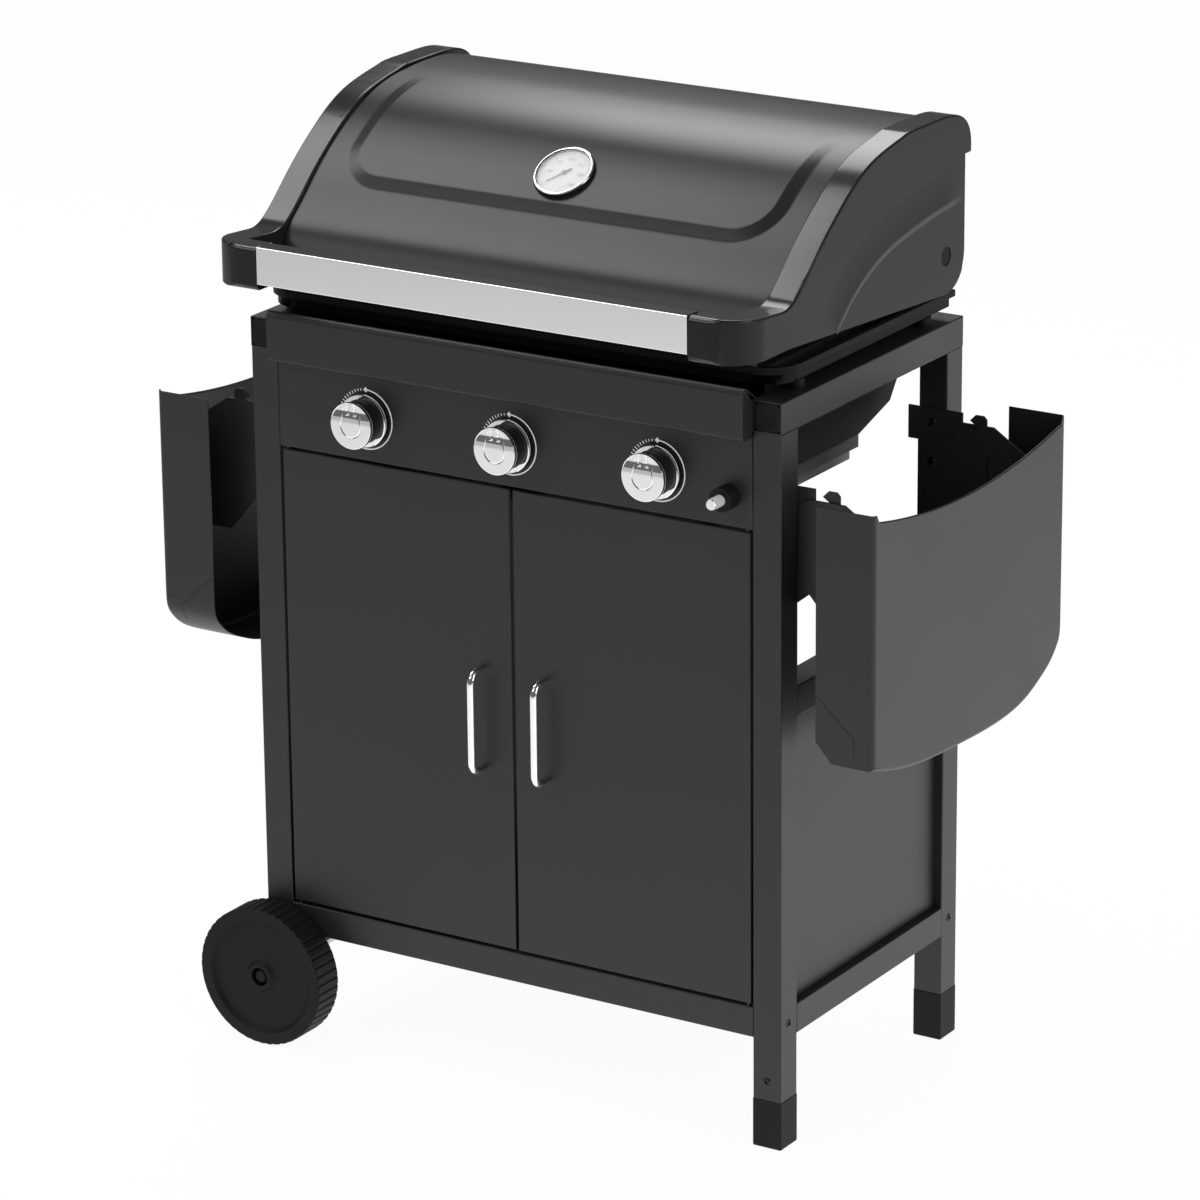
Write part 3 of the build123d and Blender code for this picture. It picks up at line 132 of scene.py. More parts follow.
def ray_share(tree):
    """Two shares of 0 or 1: for rays from the camera or through glass, and for rays off a shiny surface."""
    camera_ray, glass_ray, shiny_ray = (
        Signal(tree).node("ShaderNodeLightPath", out=f"Is {kind} Ray")
        for kind in ("Camera", "Transmission", "Glossy"))
    return camera_ray + glass_ray, shiny_ray


room_light = 0.65
room_shine = 0.13
world = bpy.data.worlds.new("white_room")
scene.world = world
world.use_nodes = True
world.node_tree.nodes.clear()
seen, shine = ray_share(world.node_tree)
strength = room_light + (1.0 - room_light) * seen + (room_shine - room_light) * shine
room = strength.node("ShaderNodeBackground", None, {"Color": (1, 1, 1, 1), "Strength": strength})
room.reach("ShaderNodeOutputWorld", "Surface")


def softbox(name, place, aim, width, height, power):
    """A rectangular studio light at a place, aimed at a point."""
    lamp = bpy.data.lights.new(name, "AREA")
    lamp.shape = "RECTANGLE"
    lamp.size = width
    lamp.size_y = height
    lamp.energy = power
    stand = linked(name, lamp)
    stand.location = place
    stand.rotation_mode = "QUATERNION"
    stand.rotation_quaternion = (Vector(aim) - Vector(place)).to_track_quat("-Z", "Y")


softbox("back_light", (-1.35, 2.08, 3.21), (-1.35, 0.0, 1.05), width=1.5, height=1.9, power=35.0)
softbox("top_light", (-2.70, -0.36, 3.62), (-2.70, 0.0, 1.05), width=3.5, height=1.6, power=69.0)
softbox("front_light", (-1.60, -2.20, 2.60), (-1.60, -0.1, 0.95), width=2.6, height=1.2, power=17.0)
softbox("right_light", (3.4, -0.4, 1.9), (0.2, 0.0, 0.6), width=1.6, height=2.2, power=40.0)

# The camera sees the floor as plain white, and it keeps the object's shadow. In reflections it shows a
# painted pool of light in place of the lamps' light on it: brightest round a spot behind the cart's right,
# dimmer farther away.
floor_half = 30.0
floor_whiteness = 0.95
floor_glow = 1.0
painted_pool_spot = (1.2, 1.2, 0.0)
painted_pool_reach = 6.0
painted_pool_near = 1.5
painted_pool_far = 0.5
floor_mesh = bpy.data.meshes.new("studio_floor")
floor_corners = [(x * floor_half, y * floor_half, 0) for x, y in ((-1, -1), (1, -1), (1, 1), (-1, 1))]
floor_mesh.from_pydata(floor_corners, [], [(0, 1, 2, 3)])
studio_floor = linked("studio_floor", floor_mesh)
floor_paint = bpy.data.materials.new("studio_floor")
floor_paint.use_nodes = True
floor_paint.node_tree.nodes.clear()
seen, shine = ray_share(floor_paint.node_tree)
matt = seen.node("ShaderNodeBsdfDiffuse", None, {"Color": (0.86, 0.86, 0.86, 1)})
bright, near, far = (
    seen.node("ShaderNodeEmission", None, {"Color": (1, 1, 1, 1), "Strength": level})
    for level in (floor_glow, painted_pool_near, painted_pool_far))
# The painted pool of light, seen only in reflections: its glow falls from the near strength at the spot to
# the far strength some metres away.
spot = seen.node("ShaderNodeTexCoord", out="Object")
away = spot.node("ShaderNodeVectorMath", {"operation": "DISTANCE"}, {0: spot, 1: painted_pool_spot}, 1)
painted_pool = away.node("ShaderNodeMixShader", None, {0: away / painted_pool_reach, 1: near, 2: far})
white = seen.node("ShaderNodeMixShader", None, {0: floor_whiteness * seen, 1: matt, 2: bright})
lit = shine.node("ShaderNodeMixShader", None, {0: shine, 1: white, 2: painted_pool})
lit.reach("ShaderNodeOutputMaterial", "Surface")
floor_mesh.materials.append(floor_paint)


# The cart's frame: square steel tube, welded up and powder coated in charcoal. The right legs stand on
# feet, the left legs carry the axle, and the top rails' open ends are stopped with plastic plugs.
class Finish:
    """A material with a Principled shader; fixed values are set on it and varying ones are fed to it."""

    def __init__(self, name, **fixed):
        self.material = bpy.data.materials.new(name)
        self.material.use_nodes = True
        tree = self.material.node_tree
        tree.nodes.clear()
        self.shader = tree.nodes.new("ShaderNodeBsdfPrincipled")
        Signal(tree, self.shader.outputs[0]).reach("ShaderNodeOutputMaterial", "Surface")
        for socket, value in fixed.items():
            self.shader.inputs[socket.replace("_", " ")].default_value = value
        self.place = Signal(tree).node("ShaderNodeTexCoord", out="Object")

    def feed(self, socket, signal):
        self.place.tree.links.new(signal.socket, self.shader.inputs[socket])

    def noise(self, scale, detail=2.0, stretch=(1, 1, 1)):
        """Cloudy noise over the piece, from 0 to 1; stretch draws it out along the axes."""
        where = self.place.node("ShaderNodeMapping", None, {"Vector": self.place, "Scale": stretch})
        return where.node("ShaderNodeTexNoise", None, {"Vector": where, "Scale": scale, "Detail": detail})

    def colour(self, share, low, high):
        """Colours the surface between two colours, by a share from 0 to 1."""
        values = {"Factor": share, 6: (*low, 1.0), 7: (*high, 1.0)}
        self.feed("Base Color", share.node("ShaderNodeMix", {"data_type": "RGBA"}, values, 2))

    def relief(self, height, distance, strength=1.0):
        """Bumps the surface by a height from 0 to 1, over a distance in metres."""
        values = {"Height": height, "Distance": distance, "Strength": strength}
        self.feed("Normal", height.node("ShaderNodeBump", None, values))

    def paint(self, *names):
        for name in names:
            mesh = nodes[name].data
            mesh.materials.clear()
            mesh.materials.append(self.material)


mm = 0.001
powder_coat = Finish("charcoal_powder_coat", IOR=1.5)
grain = powder_coat.noise(1400.0)
drift = powder_coat.noise(9.0, detail=3.0)
powder_coat.colour(drift, (0.0120, 0.0120, 0.0125), (0.0165, 0.0165, 0.0172))
powder_coat.feed("Roughness", 0.36 + 0.10 * grain + 0.06 * drift)
powder_coat.relief(grain, 0.12 * mm, strength=0.35)
powder_coat.paint("left_legs", "right_legs", "top_rails", "mid_rails")
powder_coat.paint("bottom_side_rails", "bottom_cross_rails")

moulded_black = Finish("moulded_black_plastic", IOR=1.30)
spark = moulded_black.noise(900.0)
moulded_black.colour(spark, (0.005, 0.005, 0.0052), (0.009, 0.009, 0.0093))
moulded_black.feed("Roughness", 0.50 + 0.15 * spark)
moulded_black.relief(spark, 0.10 * mm, strength=0.4)


def piece_of(name, mesh, body):
    """A finished piece from a mesh in its place, riding a body."""
    piece = linked(name, mesh)
    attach(piece, body)
    return piece


def made_plain(source, name):
    """The mesh of an object with its modifiers carried out; the object itself is taken away."""
    bpy.context.view_layer.update()
    mesh = bpy.data.meshes.new_from_object(source.evaluated_get(bpy.context.evaluated_depsgraph_get()))
    mesh.name = name
    bpy.data.objects.remove(source)
    return mesh


def spun(rings, segments=48, finishes=(), bands=()):
    """A mesh of rings round Z, each a radius and a level or a function of the angle that gives them.
    bands holds the number of the finish for each band between two rings."""
    shape = bmesh.new()
    loops = []
    for ring in rings:
        loop = []
        for step in range(segments):
            angle = 2 * math.pi * step / segments
            radius, level = ring(angle) if callable(ring) else ring
            loop.append(shape.verts.new((radius * math.cos(angle), radius * math.sin(angle), level)))
        loops.append(loop)
    for band, (low, high) in enumerate(zip(loops, loops[1:])):
        for step in range(segments):
            after = (step + 1) % segments
            face = shape.faces.new((low[step], low[after], high[after], high[step]))
            face.material_index = bands[band] if bands else 0
    for loop, order, band in ((loops[0], -1, 0), (loops[-1], 1, -1)):
        face = shape.faces.new(loop[::order])
        face.material_index = bands[band] if bands else 0
    bmesh.ops.remove_doubles(shape, verts=shape.verts, dist=1e-7)
    bmesh.ops.recalc_face_normals(shape, faces=shape.faces)
    mesh = bpy.data.meshes.new("spun")
    shape.to_mesh(mesh)
    shape.free()
    for finish in finishes:
        mesh.materials.append(finish.material)
    mesh.shade_smooth()
    mesh.set_sharp_from_angle(angle=math.radians(35))
    return mesh


repeat_tree = bpy.data.node_groups.new("repeat", "GeometryNodeTree")
repeat_inputs = {
    label: repeat_tree.interface.new_socket(label, in_out="INPUT", socket_type=kind).identifier
    for label, kind in (
        ("Points", "NodeSocketGeometry"), ("Shape", "NodeSocketObject"), ("Finish", "NodeSocketMaterial"),
        ("Spin", "NodeSocketFloat"), ("Seed", "NodeSocketInt"),
    )
}
repeat_tree.interface.new_socket("Pieces", in_out="OUTPUT", socket_type="NodeSocketGeometry")
entry = repeat_tree.nodes.new("NodeGroupInput")
given = {socket.name: Signal(repeat_tree, socket) for socket in entry.outputs}
shape = given["Shape"].node("GeometryNodeObjectInfo", None, {"Object": given["Shape"]}, "Geometry")
heading = shape.node("GeometryNodeInputNamedAttribute", {"data_type": "FLOAT_VECTOR"}, {"Name": "heading"})
size = shape.node("GeometryNodeInputNamedAttribute", {"data_type": "FLOAT_VECTOR"}, {"Name": "size"})
values = {"Points": given["Points"], "Instance": shape, "Rotation": heading, "Scale": size}
placed = shape.node("GeometryNodeInstanceOnPoints", None, values)
values = {3: given["Spin"], "Seed": given["Seed"]}
angle = placed.node("FunctionNodeRandomValue", {"data_type": "FLOAT"}, values, 1)
twist = angle.node("ShaderNodeCombineXYZ", None, {"Z": angle})
twisted = twist.node("GeometryNodeRotateInstances", None, {"Instances": placed, "Rotation": twist})
real = twisted.node("GeometryNodeRealizeInstances", None, {"Geometry": twisted})
coated = real.node("GeometryNodeSetMaterial", None, {"Geometry": real, "Material": given["Finish"]})
coated.reach("NodeGroupOutput", "Pieces")


def repeat(name, mesh, spots, finish, spin=0.0, seed=7):
    """A mesh of one shape set on many spots, each a place, a turn and a size along the shape's axes."""
    points = bpy.data.meshes.new(name + "_points")
    points.from_pydata([place for place, heading, size in spots], [], [])
    headings = points.attributes.new("heading", "FLOAT_VECTOR", "POINT")
    sizes = points.attributes.new("size", "FLOAT_VECTOR", "POINT")
    for index, (place, heading, size) in enumerate(spots):
        headings.data[index].vector = heading.to_euler()
        sizes.data[index].vector = size
    sample = linked(name + "_shape", mesh)
    source = linked(name + "_points", points)
    maker = source.modifiers.new("repeat", "NODES")
    maker.node_group = repeat_tree
    maker[repeat_inputs["Shape"]] = sample
    maker[repeat_inputs["Finish"]] = finish.material
    maker[repeat_inputs["Spin"]] = spin
    maker[repeat_inputs["Seed"]] = seed
    made = made_plain(source, name)
    bpy.data.objects.remove(sample)
    return made


def outward(x, y, z):
    """The turn that points a shape's own Z along a direction."""
    return Vector((x, y, z)).to_track_quat("Z", "Y")


whole = (1.0, 1.0, 1.0)
rail_low, rail_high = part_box("top_rails")
tube = rail_high.z - rail_low.z
plug_inset = 1.9 * mm
plug_half = tube / 2 - plug_inset
leg_front = rail_low.y
leg_back = rail_high.y


def square_ring(half, level, corner=2.0 * mm):
    """A ring of a rounded square for a spun mesh."""
    def ring(angle):
        reach = half / max(abs(math.cos(angle)), abs(math.sin(angle)))
        return min(reach, half * math.sqrt(2) - corner), level
    return ring


plug = spun([
    square_ring(plug_half, -12 * mm), square_ring(plug_half, -0.8 * mm),
    square_ring(plug_half - 0.8 * mm, 0.0), square_ring(plug_half - 4 * mm, 0.2 * mm),
    square_ring(plug_half - 6 * mm, -0.6 * mm),
], segments=32)
plug_spots = [
    (Vector((side * (rail_high.x - tube / 2), end, rail_high.z - tube / 2)), outward(0, facing, 0), whole)
    for side in (-1, 1) for end, facing in ((leg_front, -1), (leg_back, 1))
]
piece_of("rail_plugs", repeat("rail_plugs", plug, plug_spots, moulded_black), "cart")

# Frame screws: button-head screws in black zinc with a hexagon socket, at the bottom rails, the brackets
# and the feet. Each was driven to its own angle.
black_zinc = Finish("black_zinc", Metallic=1.0)
tint = black_zinc.noise(200.0)
black_zinc.colour(tint, (0.030, 0.030, 0.030), (0.055, 0.055, 0.056))
black_zinc.feed("Roughness", 0.30 + 0.10 * tint)


def welded(node):
    """The shape of a CAD node, with the doubled corners of its triangles merged."""
    shape = bmesh.new()
    shape.from_mesh(nodes[node].data)
    bmesh.ops.remove_doubles(shape, verts=shape.verts, dist=2e-6)
    return shape


def islands(node):
    """The separate bodies of a CAD node, each as a list of its corners."""
    shape = welded(node)
    found = set()
    for first in shape.verts:
        if first in found:
            continue
        found.add(first)
        reached = [first]
        for vert in reached:
            for edge in vert.link_edges:
                other = edge.other_vert(vert)
                if other not in found:
                    found.add(other)
                    reached.append(other)
        yield [vert.co.copy() for vert in reached]
    shape.free()


def hexagon(across, level):
    """A ring of a hexagon for a spun mesh."""
    def ring(angle):
        return across / 2 / math.cos((angle + math.pi / 6) % (math.pi / 3) - math.pi / 6), level
    return ring


screw_radius = 5.5 * mm
screw_height = 2.3 * mm
socket_across = 4.4 * mm
socket_taper = 0.2 * mm
screw = spun([
    (screw_radius, -1.0 * mm), (screw_radius, 0.5 * mm), (0.88 * screw_radius, 0.65 * screw_height),
    (0.66 * screw_radius, screw_height), hexagon(socket_across, screw_height),
    hexagon(socket_across - socket_taper, 0.7 * mm),
], segments=24)
screw_spots = []
for corners in islands("frame_screws"):
    spans = [max(c[k] for c in corners) - min(c[k] for c in corners) for k in range(3)]
    axis = spans.index(min(spans))
    middle = Vector([(max(c[k] for c in corners) + min(c[k] for c in corners)) / 2 for k in range(3)])
    head = [c[axis] for c in corners if (c - middle).length > 0.9 * screw_radius]
    facing = Vector([0, 0, 0])
    seat = sum(head) / len(head)
    facing[axis] = 1 if seat > middle[axis] else -1
    middle[axis] = seat
    screw_spots.append((middle, facing.to_track_quat("Z", "Y"), whole))
screws = repeat("frame_screw_heads", screw, screw_spots, black_zinc, spin=2 * math.pi)
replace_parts(piece_of("frame_screw_heads", screws, "cart"), "frame_screws")


# The feet: caps moulded in black plastic with soft edges, one under each right leg. They keep the cut ends of
# the tube off the ground.
def sharp(edge, least=35, convex=True):
    """Whether an edge stands out, or goes in, and turns by at least so many degrees."""
    turned = edge.is_manifold and edge.calc_face_angle(0.0) > math.radians(least)
    return turned and edge.is_convex == convex


def evened(mesh, finish):
    """The mesh in a finish, shaded smooth over its rounded edges and flat between them."""
    mesh.materials.clear()
    mesh.materials.append(finish.material)
    mesh.shade_smooth()
    mesh.set_sharp_from_angle(angle=math.radians(32))
    raw = linked("raw", mesh)
    even = raw.modifiers.new("even", "WEIGHTED_NORMAL")
    even.keep_sharp = True
    return made_plain(raw, mesh.name)


def shown(node, mesh, finish):
    """A piece of a mesh in a finish in place of a CAD node, on the node's body."""
    piece = piece_of(f"shown_{node}", evened(mesh, finish), nodes[node]["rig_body"])
    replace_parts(piece, node)
    return piece


def softened(node, finish, radius, chosen=sharp, segments=3, inside=None, wall=0.0):
    """A piece in place of a CAD node, of its shape with the chosen edges rounded to a radius. On sheet of a
    thick wall, the edges chosen inside get the smaller round of the fold's inner face."""
    shape = welded(node)
    bmesh.ops.dissolve_limit(shape, angle_limit=math.radians(0.5), verts=shape.verts, edges=shape.edges)
    rounds = [([edge for edge in shape.edges if chosen(edge)], radius)]
    if inside:
        rounds.append(([edge for edge in shape.edges if inside(edge)], radius - wall))
    for edges, size in rounds:
        bmesh.ops.bevel(shape, geom=edges, offset=size, segments=segments, profile=0.5, affect="EDGES")
    mesh = bpy.data.meshes.new(node)
    shape.to_mesh(mesh)
    shape.free()
    return shown(node, mesh, finish)


softened("feet", moulded_black, 1.2 * mm)

# The sheet metal of the cart: side panels and a floor pan, each folded from one steel sheet with soft folds.
# They are coated like the frame that carries them.
panel_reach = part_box("side_panels")[1].x
flatness = 0.02 * mm
long_edge = 20 * mm


def in_plane(axis, value):
    """A choice of the long sharp edges that lie in one plane."""
    def choice(edge):
        flat = all(abs(vert.co[axis] - value) < flatness for vert in edge.verts)
        return flat and sharp(edge) and edge.calc_length() > long_edge
    return choice


softened("side_panels", powder_coat, 1.6 * mm, lambda edge: any(
    in_plane(0, side * panel_reach)(edge) for side in (-1, 1)))
powder_coat.paint("floor_pan")

# The wheels: discs moulded in black plastic with a lugged tread, which turn on a plain steel axle through the
# left legs. Push-on caps keep them there.
moulded_black.paint("wheel_front", "wheel_rear", "axle_caps")
steel = Finish("plain_steel", Metallic=1.0)
scuff = steel.noise(120.0, detail=4.0, stretch=(1.0, 0.2, 1.0))
steel.colour(scuff, (0.42, 0.42, 0.43), (0.58, 0.58, 0.59))
steel.feed("Roughness", 0.28 + 0.15 * scuff)
steel.paint("axle")

# The control panel and the fascia above it: folded sheet in the cart's coat. The panel is printed in white
# round each knob: a ring, a mark for off and a row of strokes that grows away from it.
panel_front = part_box("control_panel")[0].y
softened("control_panel", powder_coat, 1.2 * mm, in_plane(1, panel_front))
fascia_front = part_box("fascia")[0].y
fascia_roll = 6 * mm
fascia_least = 20
fascia_long = 400 * mm


def rolled(edge):
    """The fascia's long folds at its front."""
    forward = all(vert.co.y < fascia_front + fascia_roll for vert in edge.verts)
    return forward and sharp(edge, fascia_least) and edge.calc_length() > fascia_long


softened("fascia", powder_coat, 3.3 * mm, rolled, segments=4)

white_ink = Finish("white_ink")
press = white_ink.noise(2500.0)
white_ink.colour(press, (0.86, 0.86, 0.86), (0.93, 0.93, 0.93))
white_ink.feed("Roughness", 0.45 + 0.15 * press)
ink_lift = 0.12 * mm
ink_face = panel_front - ink_lift
ring_radius = 33.8 * mm
ring_width = 1.5 * mm
ring_from = math.radians(90)
ring_to = math.radians(-128)
knob_ends = ("left", "centre", "right")
knob_centres = {
    end: sum(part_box(f"valve_stem_{end}"), Vector()) / 2 * Vector((1, 0, 1)) for end in knob_ends
}


def woven(name, nets):
    """A mesh of nets of corners, each given row by row."""
    corners = []
    faces = []
    for rows in nets:
        wide = len(rows[0])
        faces += [
            [len(corners) + row * wide + k + beside for beside in (0, 1, wide + 1, wide)]
            for row in range(len(rows) - 1) for k in range(wide - 1)
        ]
        corners += [corner for row in rows for corner in row]
    mesh = bpy.data.meshes.new(name)
    mesh.from_pydata(corners, [], faces)
    return mesh


ring_steps = 72
arc = [ring_from + (ring_to - ring_from) * k / ring_steps for k in range(ring_steps + 1)]
ring_mesh = woven("panel_rings", [
    [
        [(centre.x + r * math.cos(a), ink_face, centre.z + r * math.sin(a)) for a in arc]
        for r in (ring_radius + ring_width / 2, ring_radius - ring_width / 2)
    ]
    for centre in knob_centres.values()
])
ring_mesh.materials.append(white_ink.material)
piece_of("panel_rings", ring_mesh, "cart")

stroke = bpy.data.meshes.new("stroke")
stroke.from_pydata([(-0.5, -0.5, 0), (0.5, -0.5, 0), (0.5, 0.5, 0), (-0.5, 0.5, 0)], [], [(0, 1, 2, 3)])
stroke_count = 12
stroke_step = math.radians(6.8)
stroke_start = 0.6
stroke_width = 1.1 * mm
stroke_length = 2.2 * mm
stroke_growth = 0.28 * mm
stroke_lift = 0.08 * mm
mark_width = 4.6 * mm
stroke_spots = []
for centre in knob_centres.values():
    for step in range(stroke_count + 1):
        angle = ring_from + (step + stroke_start) * stroke_step if step else ring_from
        out = Vector((math.cos(angle), 0, math.sin(angle)))
        lean = Quaternion((0, -1, 0), angle - math.pi / 2) @ outward(0, -1, 0)
        size = (stroke_width, stroke_length + stroke_growth * step, 1.0)
        if step == 0:
            lean = lean @ Quaternion((0, 0, 1), math.pi / 4)
            size = (mark_width, mark_width, 1.0)
        place = centre + out * ring_radius
        place.y = ink_face - stroke_lift
        stroke_spots.append((place, lean, size))
piece_of("panel_strokes", repeat("panel_strokes", stroke, stroke_spots, white_ink), "cart")

# The doors: folded steel pans in the cart's coat, which turn on zinc-plated pins and close on a magnet catch.
# Each has a bow handle bent from chromed bar.
for name in ("door_left", "door_right"):
    softened(name, powder_coat, 2.0 * mm, in_plane(1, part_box(name)[0].y))
chrome = Finish("bright_chrome", Metallic=1.0)
smear = chrome.noise(25.0, detail=3.0)
chrome.colour(smear, (0.90, 0.90, 0.91), (0.95, 0.95, 0.96))
chrome.feed("Roughness", 0.05 + 0.04 * smear)
chrome.paint("door_handle_left", "door_handle_right")
black_zinc.paint("door_hinge_pins")
moulded_black.paint("door_catch")

# The firebox: a pressed steel pan in matt black enamel, stood on spacers over the rails. The ears that carry
# the lid's hinge pins are enamelled like it.
firebox_long = 150 * mm
enamel = Finish("matt_black_enamel", IOR=1.20)
soot = enamel.noise(60.0, detail=4.0)
enamel.colour(soot, (0.004, 0.004, 0.004), (0.008, 0.008, 0.008))
enamel.feed("Roughness", 0.42 + 0.15 * soot)
enamel.paint("firebox_spacers", "lid_hinge_brackets")
softened("firebox", enamel, 0.8 * mm, lambda edge: sharp(edge) and edge.calc_length() > firebox_long)

# The burners: steel tubes with two rows of small ports along the top, one behind each valve; the ports are
# black discs of painted shade. Heat tents folded from steel sheet stand over them.
steel.paint("burners", "heat_tents")
# This black is painted shade, the shade inside the ports' holes, which are not cut; it is mottled at random.
# The same black draws the tables' seams.
port_shade_and_seam_black = Finish("burner_port_black")
scorch = port_shade_and_seam_black.noise(900.0)
port_shade_and_seam_black.colour(scorch, (0.004, 0.004, 0.004), (0.010, 0.009, 0.008))
port_shade_and_seam_black.feed("Roughness", 0.7 + 0.2 * scorch)
burner_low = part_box("burners")[0]
burner_radius = 14 * mm
port_radius = 1.3 * mm
port_count = 16
port_start = 24 * mm
port_pitch = 11 * mm
port_lean = math.radians(38)
port = spun([(port_radius, -0.5 * mm), (port_radius, 0.0), (0.7 * port_radius, 0.08 * mm)], segments=12)
port_spots = []
for centre in knob_centres.values():
    for lean in (-port_lean, port_lean):
        facing = Vector((math.sin(lean), 0, math.cos(lean)))
        start = centre + facing * burner_radius
        for step in range(port_count):
            start.y = burner_low.y + port_start + step * port_pitch
            port_spots.append((start.copy(), facing.to_track_quat("Z", "Y"), whole))
piece_of("burner_ports", repeat("burner_ports", port, port_spots, port_shade_and_seam_black), "cart")

# The cooking surfaces: a grate and a griddle side by side, each cast in iron and seasoned. Above them is a
# shelf of chromed wire for warming.
iron = Finish("seasoned_cast_iron", IOR=1.5)
cast = iron.noise(300.0, detail=4.0)
iron.colour(cast, (0.014, 0.013, 0.012), (0.028, 0.027, 0.026))
iron.feed("Roughness", 0.48 + 0.20 * cast)
iron.relief(cast, 0.3 * mm, strength=0.5)
softened("cooking_grate", iron, 1.0 * mm, segments=2)
softened("griddle", iron, 1.2 * mm, segments=2)
chrome.paint("warming_rack")

# The grease tray: a shallow tray folded from steel sheet, which catches what drips through the firebox. It
# slides on two angle runners of the same steel.
steel.paint("grease_tray", "tray_runners")

# The gas line: a steel manifold with a brass valve for each burner and an elbow for the hose. A turned brass
# stem and plunger join each valve to its knob.
steel.paint("gas_manifold")
brass = Finish("machined_brass", Metallic=1.0)
swirl = brass.noise(150.0, detail=3.0)
brass.colour(swirl, (0.55, 0.40, 0.17), (0.70, 0.53, 0.25))
brass.feed("Roughness", 0.25 + 0.12 * swirl)
brass.paint("gas_valves", "gas_inlet")
for end in knob_ends:
    brass.paint(f"valve_plunger_{end}", f"valve_stem_{end}")

# The knobs: moulded black barrels on the valves' stems, with a chromed face and a chromed base ring. The face
# falls back to its upper part, where a slot with a rib makes the pointer, and has a groove shaped like a U.
groove_radius = 13.0 * mm
groove_width = 1.5 * mm
groove_depth = 0.7 * mm
groove_end = 19 * mm
groove_lean = 0.014 / mm
slot_half = 7.0 * mm
rib_half = 2.4 * mm
slot_foot = 11.6 * mm
slot_depth = 1.6 * mm
slot_ease = 0.9 * mm
fall_from = 2.0 * mm
fall_to = 15.5 * mm
fall_depth = 2.3 * mm


def face_level(u, v):
    """How deep the knob's face is cut at a place, with v towards the pointer."""
    if v > 0:
        away = abs(abs(u) - groove_radius * (1 - groove_lean * v))
    else:
        away = abs(math.hypot(u, v) - groove_radius)
    groove = max(0.0, 1 - away / (groove_width / 2)) if v < groove_end else 0.0
    walls = (slot_half - abs(u), abs(u) - rib_half, v - slot_foot, slot_ease)
    across = min(walls) / slot_ease
    fall = min(max((v - fall_from) / (fall_to - fall_from), 0.0), 1.0)
    return -fall_depth * fall * fall - max(groove_depth * groove, slot_depth * max(0.0, across))


def face_ring(radius):
    """A ring of the knob's face for a spun mesh."""
    def ring(angle):
        return radius, face_level(radius * math.cos(angle), radius * math.sin(angle))
    return ring


knob_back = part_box("knob_centre")[1].y
knob_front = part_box("knob_centre")[0].y
knob_depth = knob_back - knob_front
# The radius of each ring and its rise from the back of the knob, then from the face, in millimetres.
knob_foot = (
    (9.0, 6.0), (20.5, 4.0), (20.5, 0.0), (29.6, 0.0), (30.0, 0.4), (30.0, 3.2), (29.2, 4.0), (25.0, 4.2),
    (24.5, 4.6),
)
knob_lip = ((24.5, -6.0), (25.2, -5.4), (26.2, -5.0), (26.5, -4.4), (26.5, -1.0), (26.2, -0.3))
face_edge = 25.6 * mm
face_eye = 0.05 * mm
face_steps = 52
knob_rings = [(radius * mm, rise * mm - knob_depth) for radius, rise in knob_foot]
knob_rings += [(radius * mm, level * mm) for radius, level in knob_lip]
knob_rings += [
    face_ring(face_edge - (face_edge - face_eye) * k / (face_steps - 1)) for k in range(face_steps)
]
knob_bands = [1, 1, 1, 0, 0, 0, 0, 1, 1, 1, 0, 0, 0, 0] + [0] * face_steps
for end, centre in knob_centres.items():
    mesh = spun(knob_rings, segments=144, finishes=(chrome, moulded_black), bands=knob_bands)
    place = Matrix.Translation((centre.x, knob_front, centre.z)) @ Matrix.Rotation(math.pi / 2, 4, "X")
    mesh.transform(place)
    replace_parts(piece_of(f"shown_knob_{end}", mesh, f"{end}_knob"), f"knob_{end}")

# The igniter: a deep plastic collar on the panel with a fluted button that fires the spark. The button is
# moulded in silver plastic, with a metal foil on its face.
softened("igniter_bezel", moulded_black, 1.0 * mm)
silver = Finish("satin_silver", Metallic=1.0)
brush = silver.noise(90.0, detail=4.0, stretch=(0.02, 8.0, 8.0))
silver.colour(brush, (0.90, 0.90, 0.91), (0.95, 0.95, 0.96))
silver.feed("Roughness", 0.16 + 0.06 * brush)
silver_plastic = Finish("silver_plastic")
flake = silver_plastic.noise(900.0)
silver_plastic.colour(flake, (0.50, 0.50, 0.51), (0.58, 0.58, 0.59))
silver_plastic.feed("Roughness", 0.32 + 0.08 * flake)
button_low, button_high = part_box("igniter_button")
button_radius = (button_high.x - button_low.x) / 2
button_length = button_high.y - button_low.y
flute_count = 24
flute_depth = 0.2 * mm


def fluted(radius, level):
    """A fluted ring for a spun mesh."""
    def ring(angle):
        return radius - flute_depth * (1 - math.cos(flute_count * angle)), level
    return ring


button = spun([
    (button_radius, -button_length), (button_radius, -21 * mm), fluted(button_radius, -20 * mm),
    fluted(button_radius, -1.2 * mm), fluted(button_radius - 0.5 * mm, -0.4 * mm),
    (button_radius - 1.0 * mm, 0.0), (button_radius - 2.5 * mm, 0.05 * mm),
], segments=96, finishes=(silver, silver_plastic), bands=[1, 1, 1, 0, 0, 0])
button.transform(
    Matrix.Translation(((button_low.x + button_high.x) / 2, button_low.y, (button_low.z + button_high.z) / 2))
    @ Matrix.Rotation(math.pi / 2, 4, "X"))
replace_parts(piece_of("shown_igniter_button", button, "igniter"), "igniter_button")

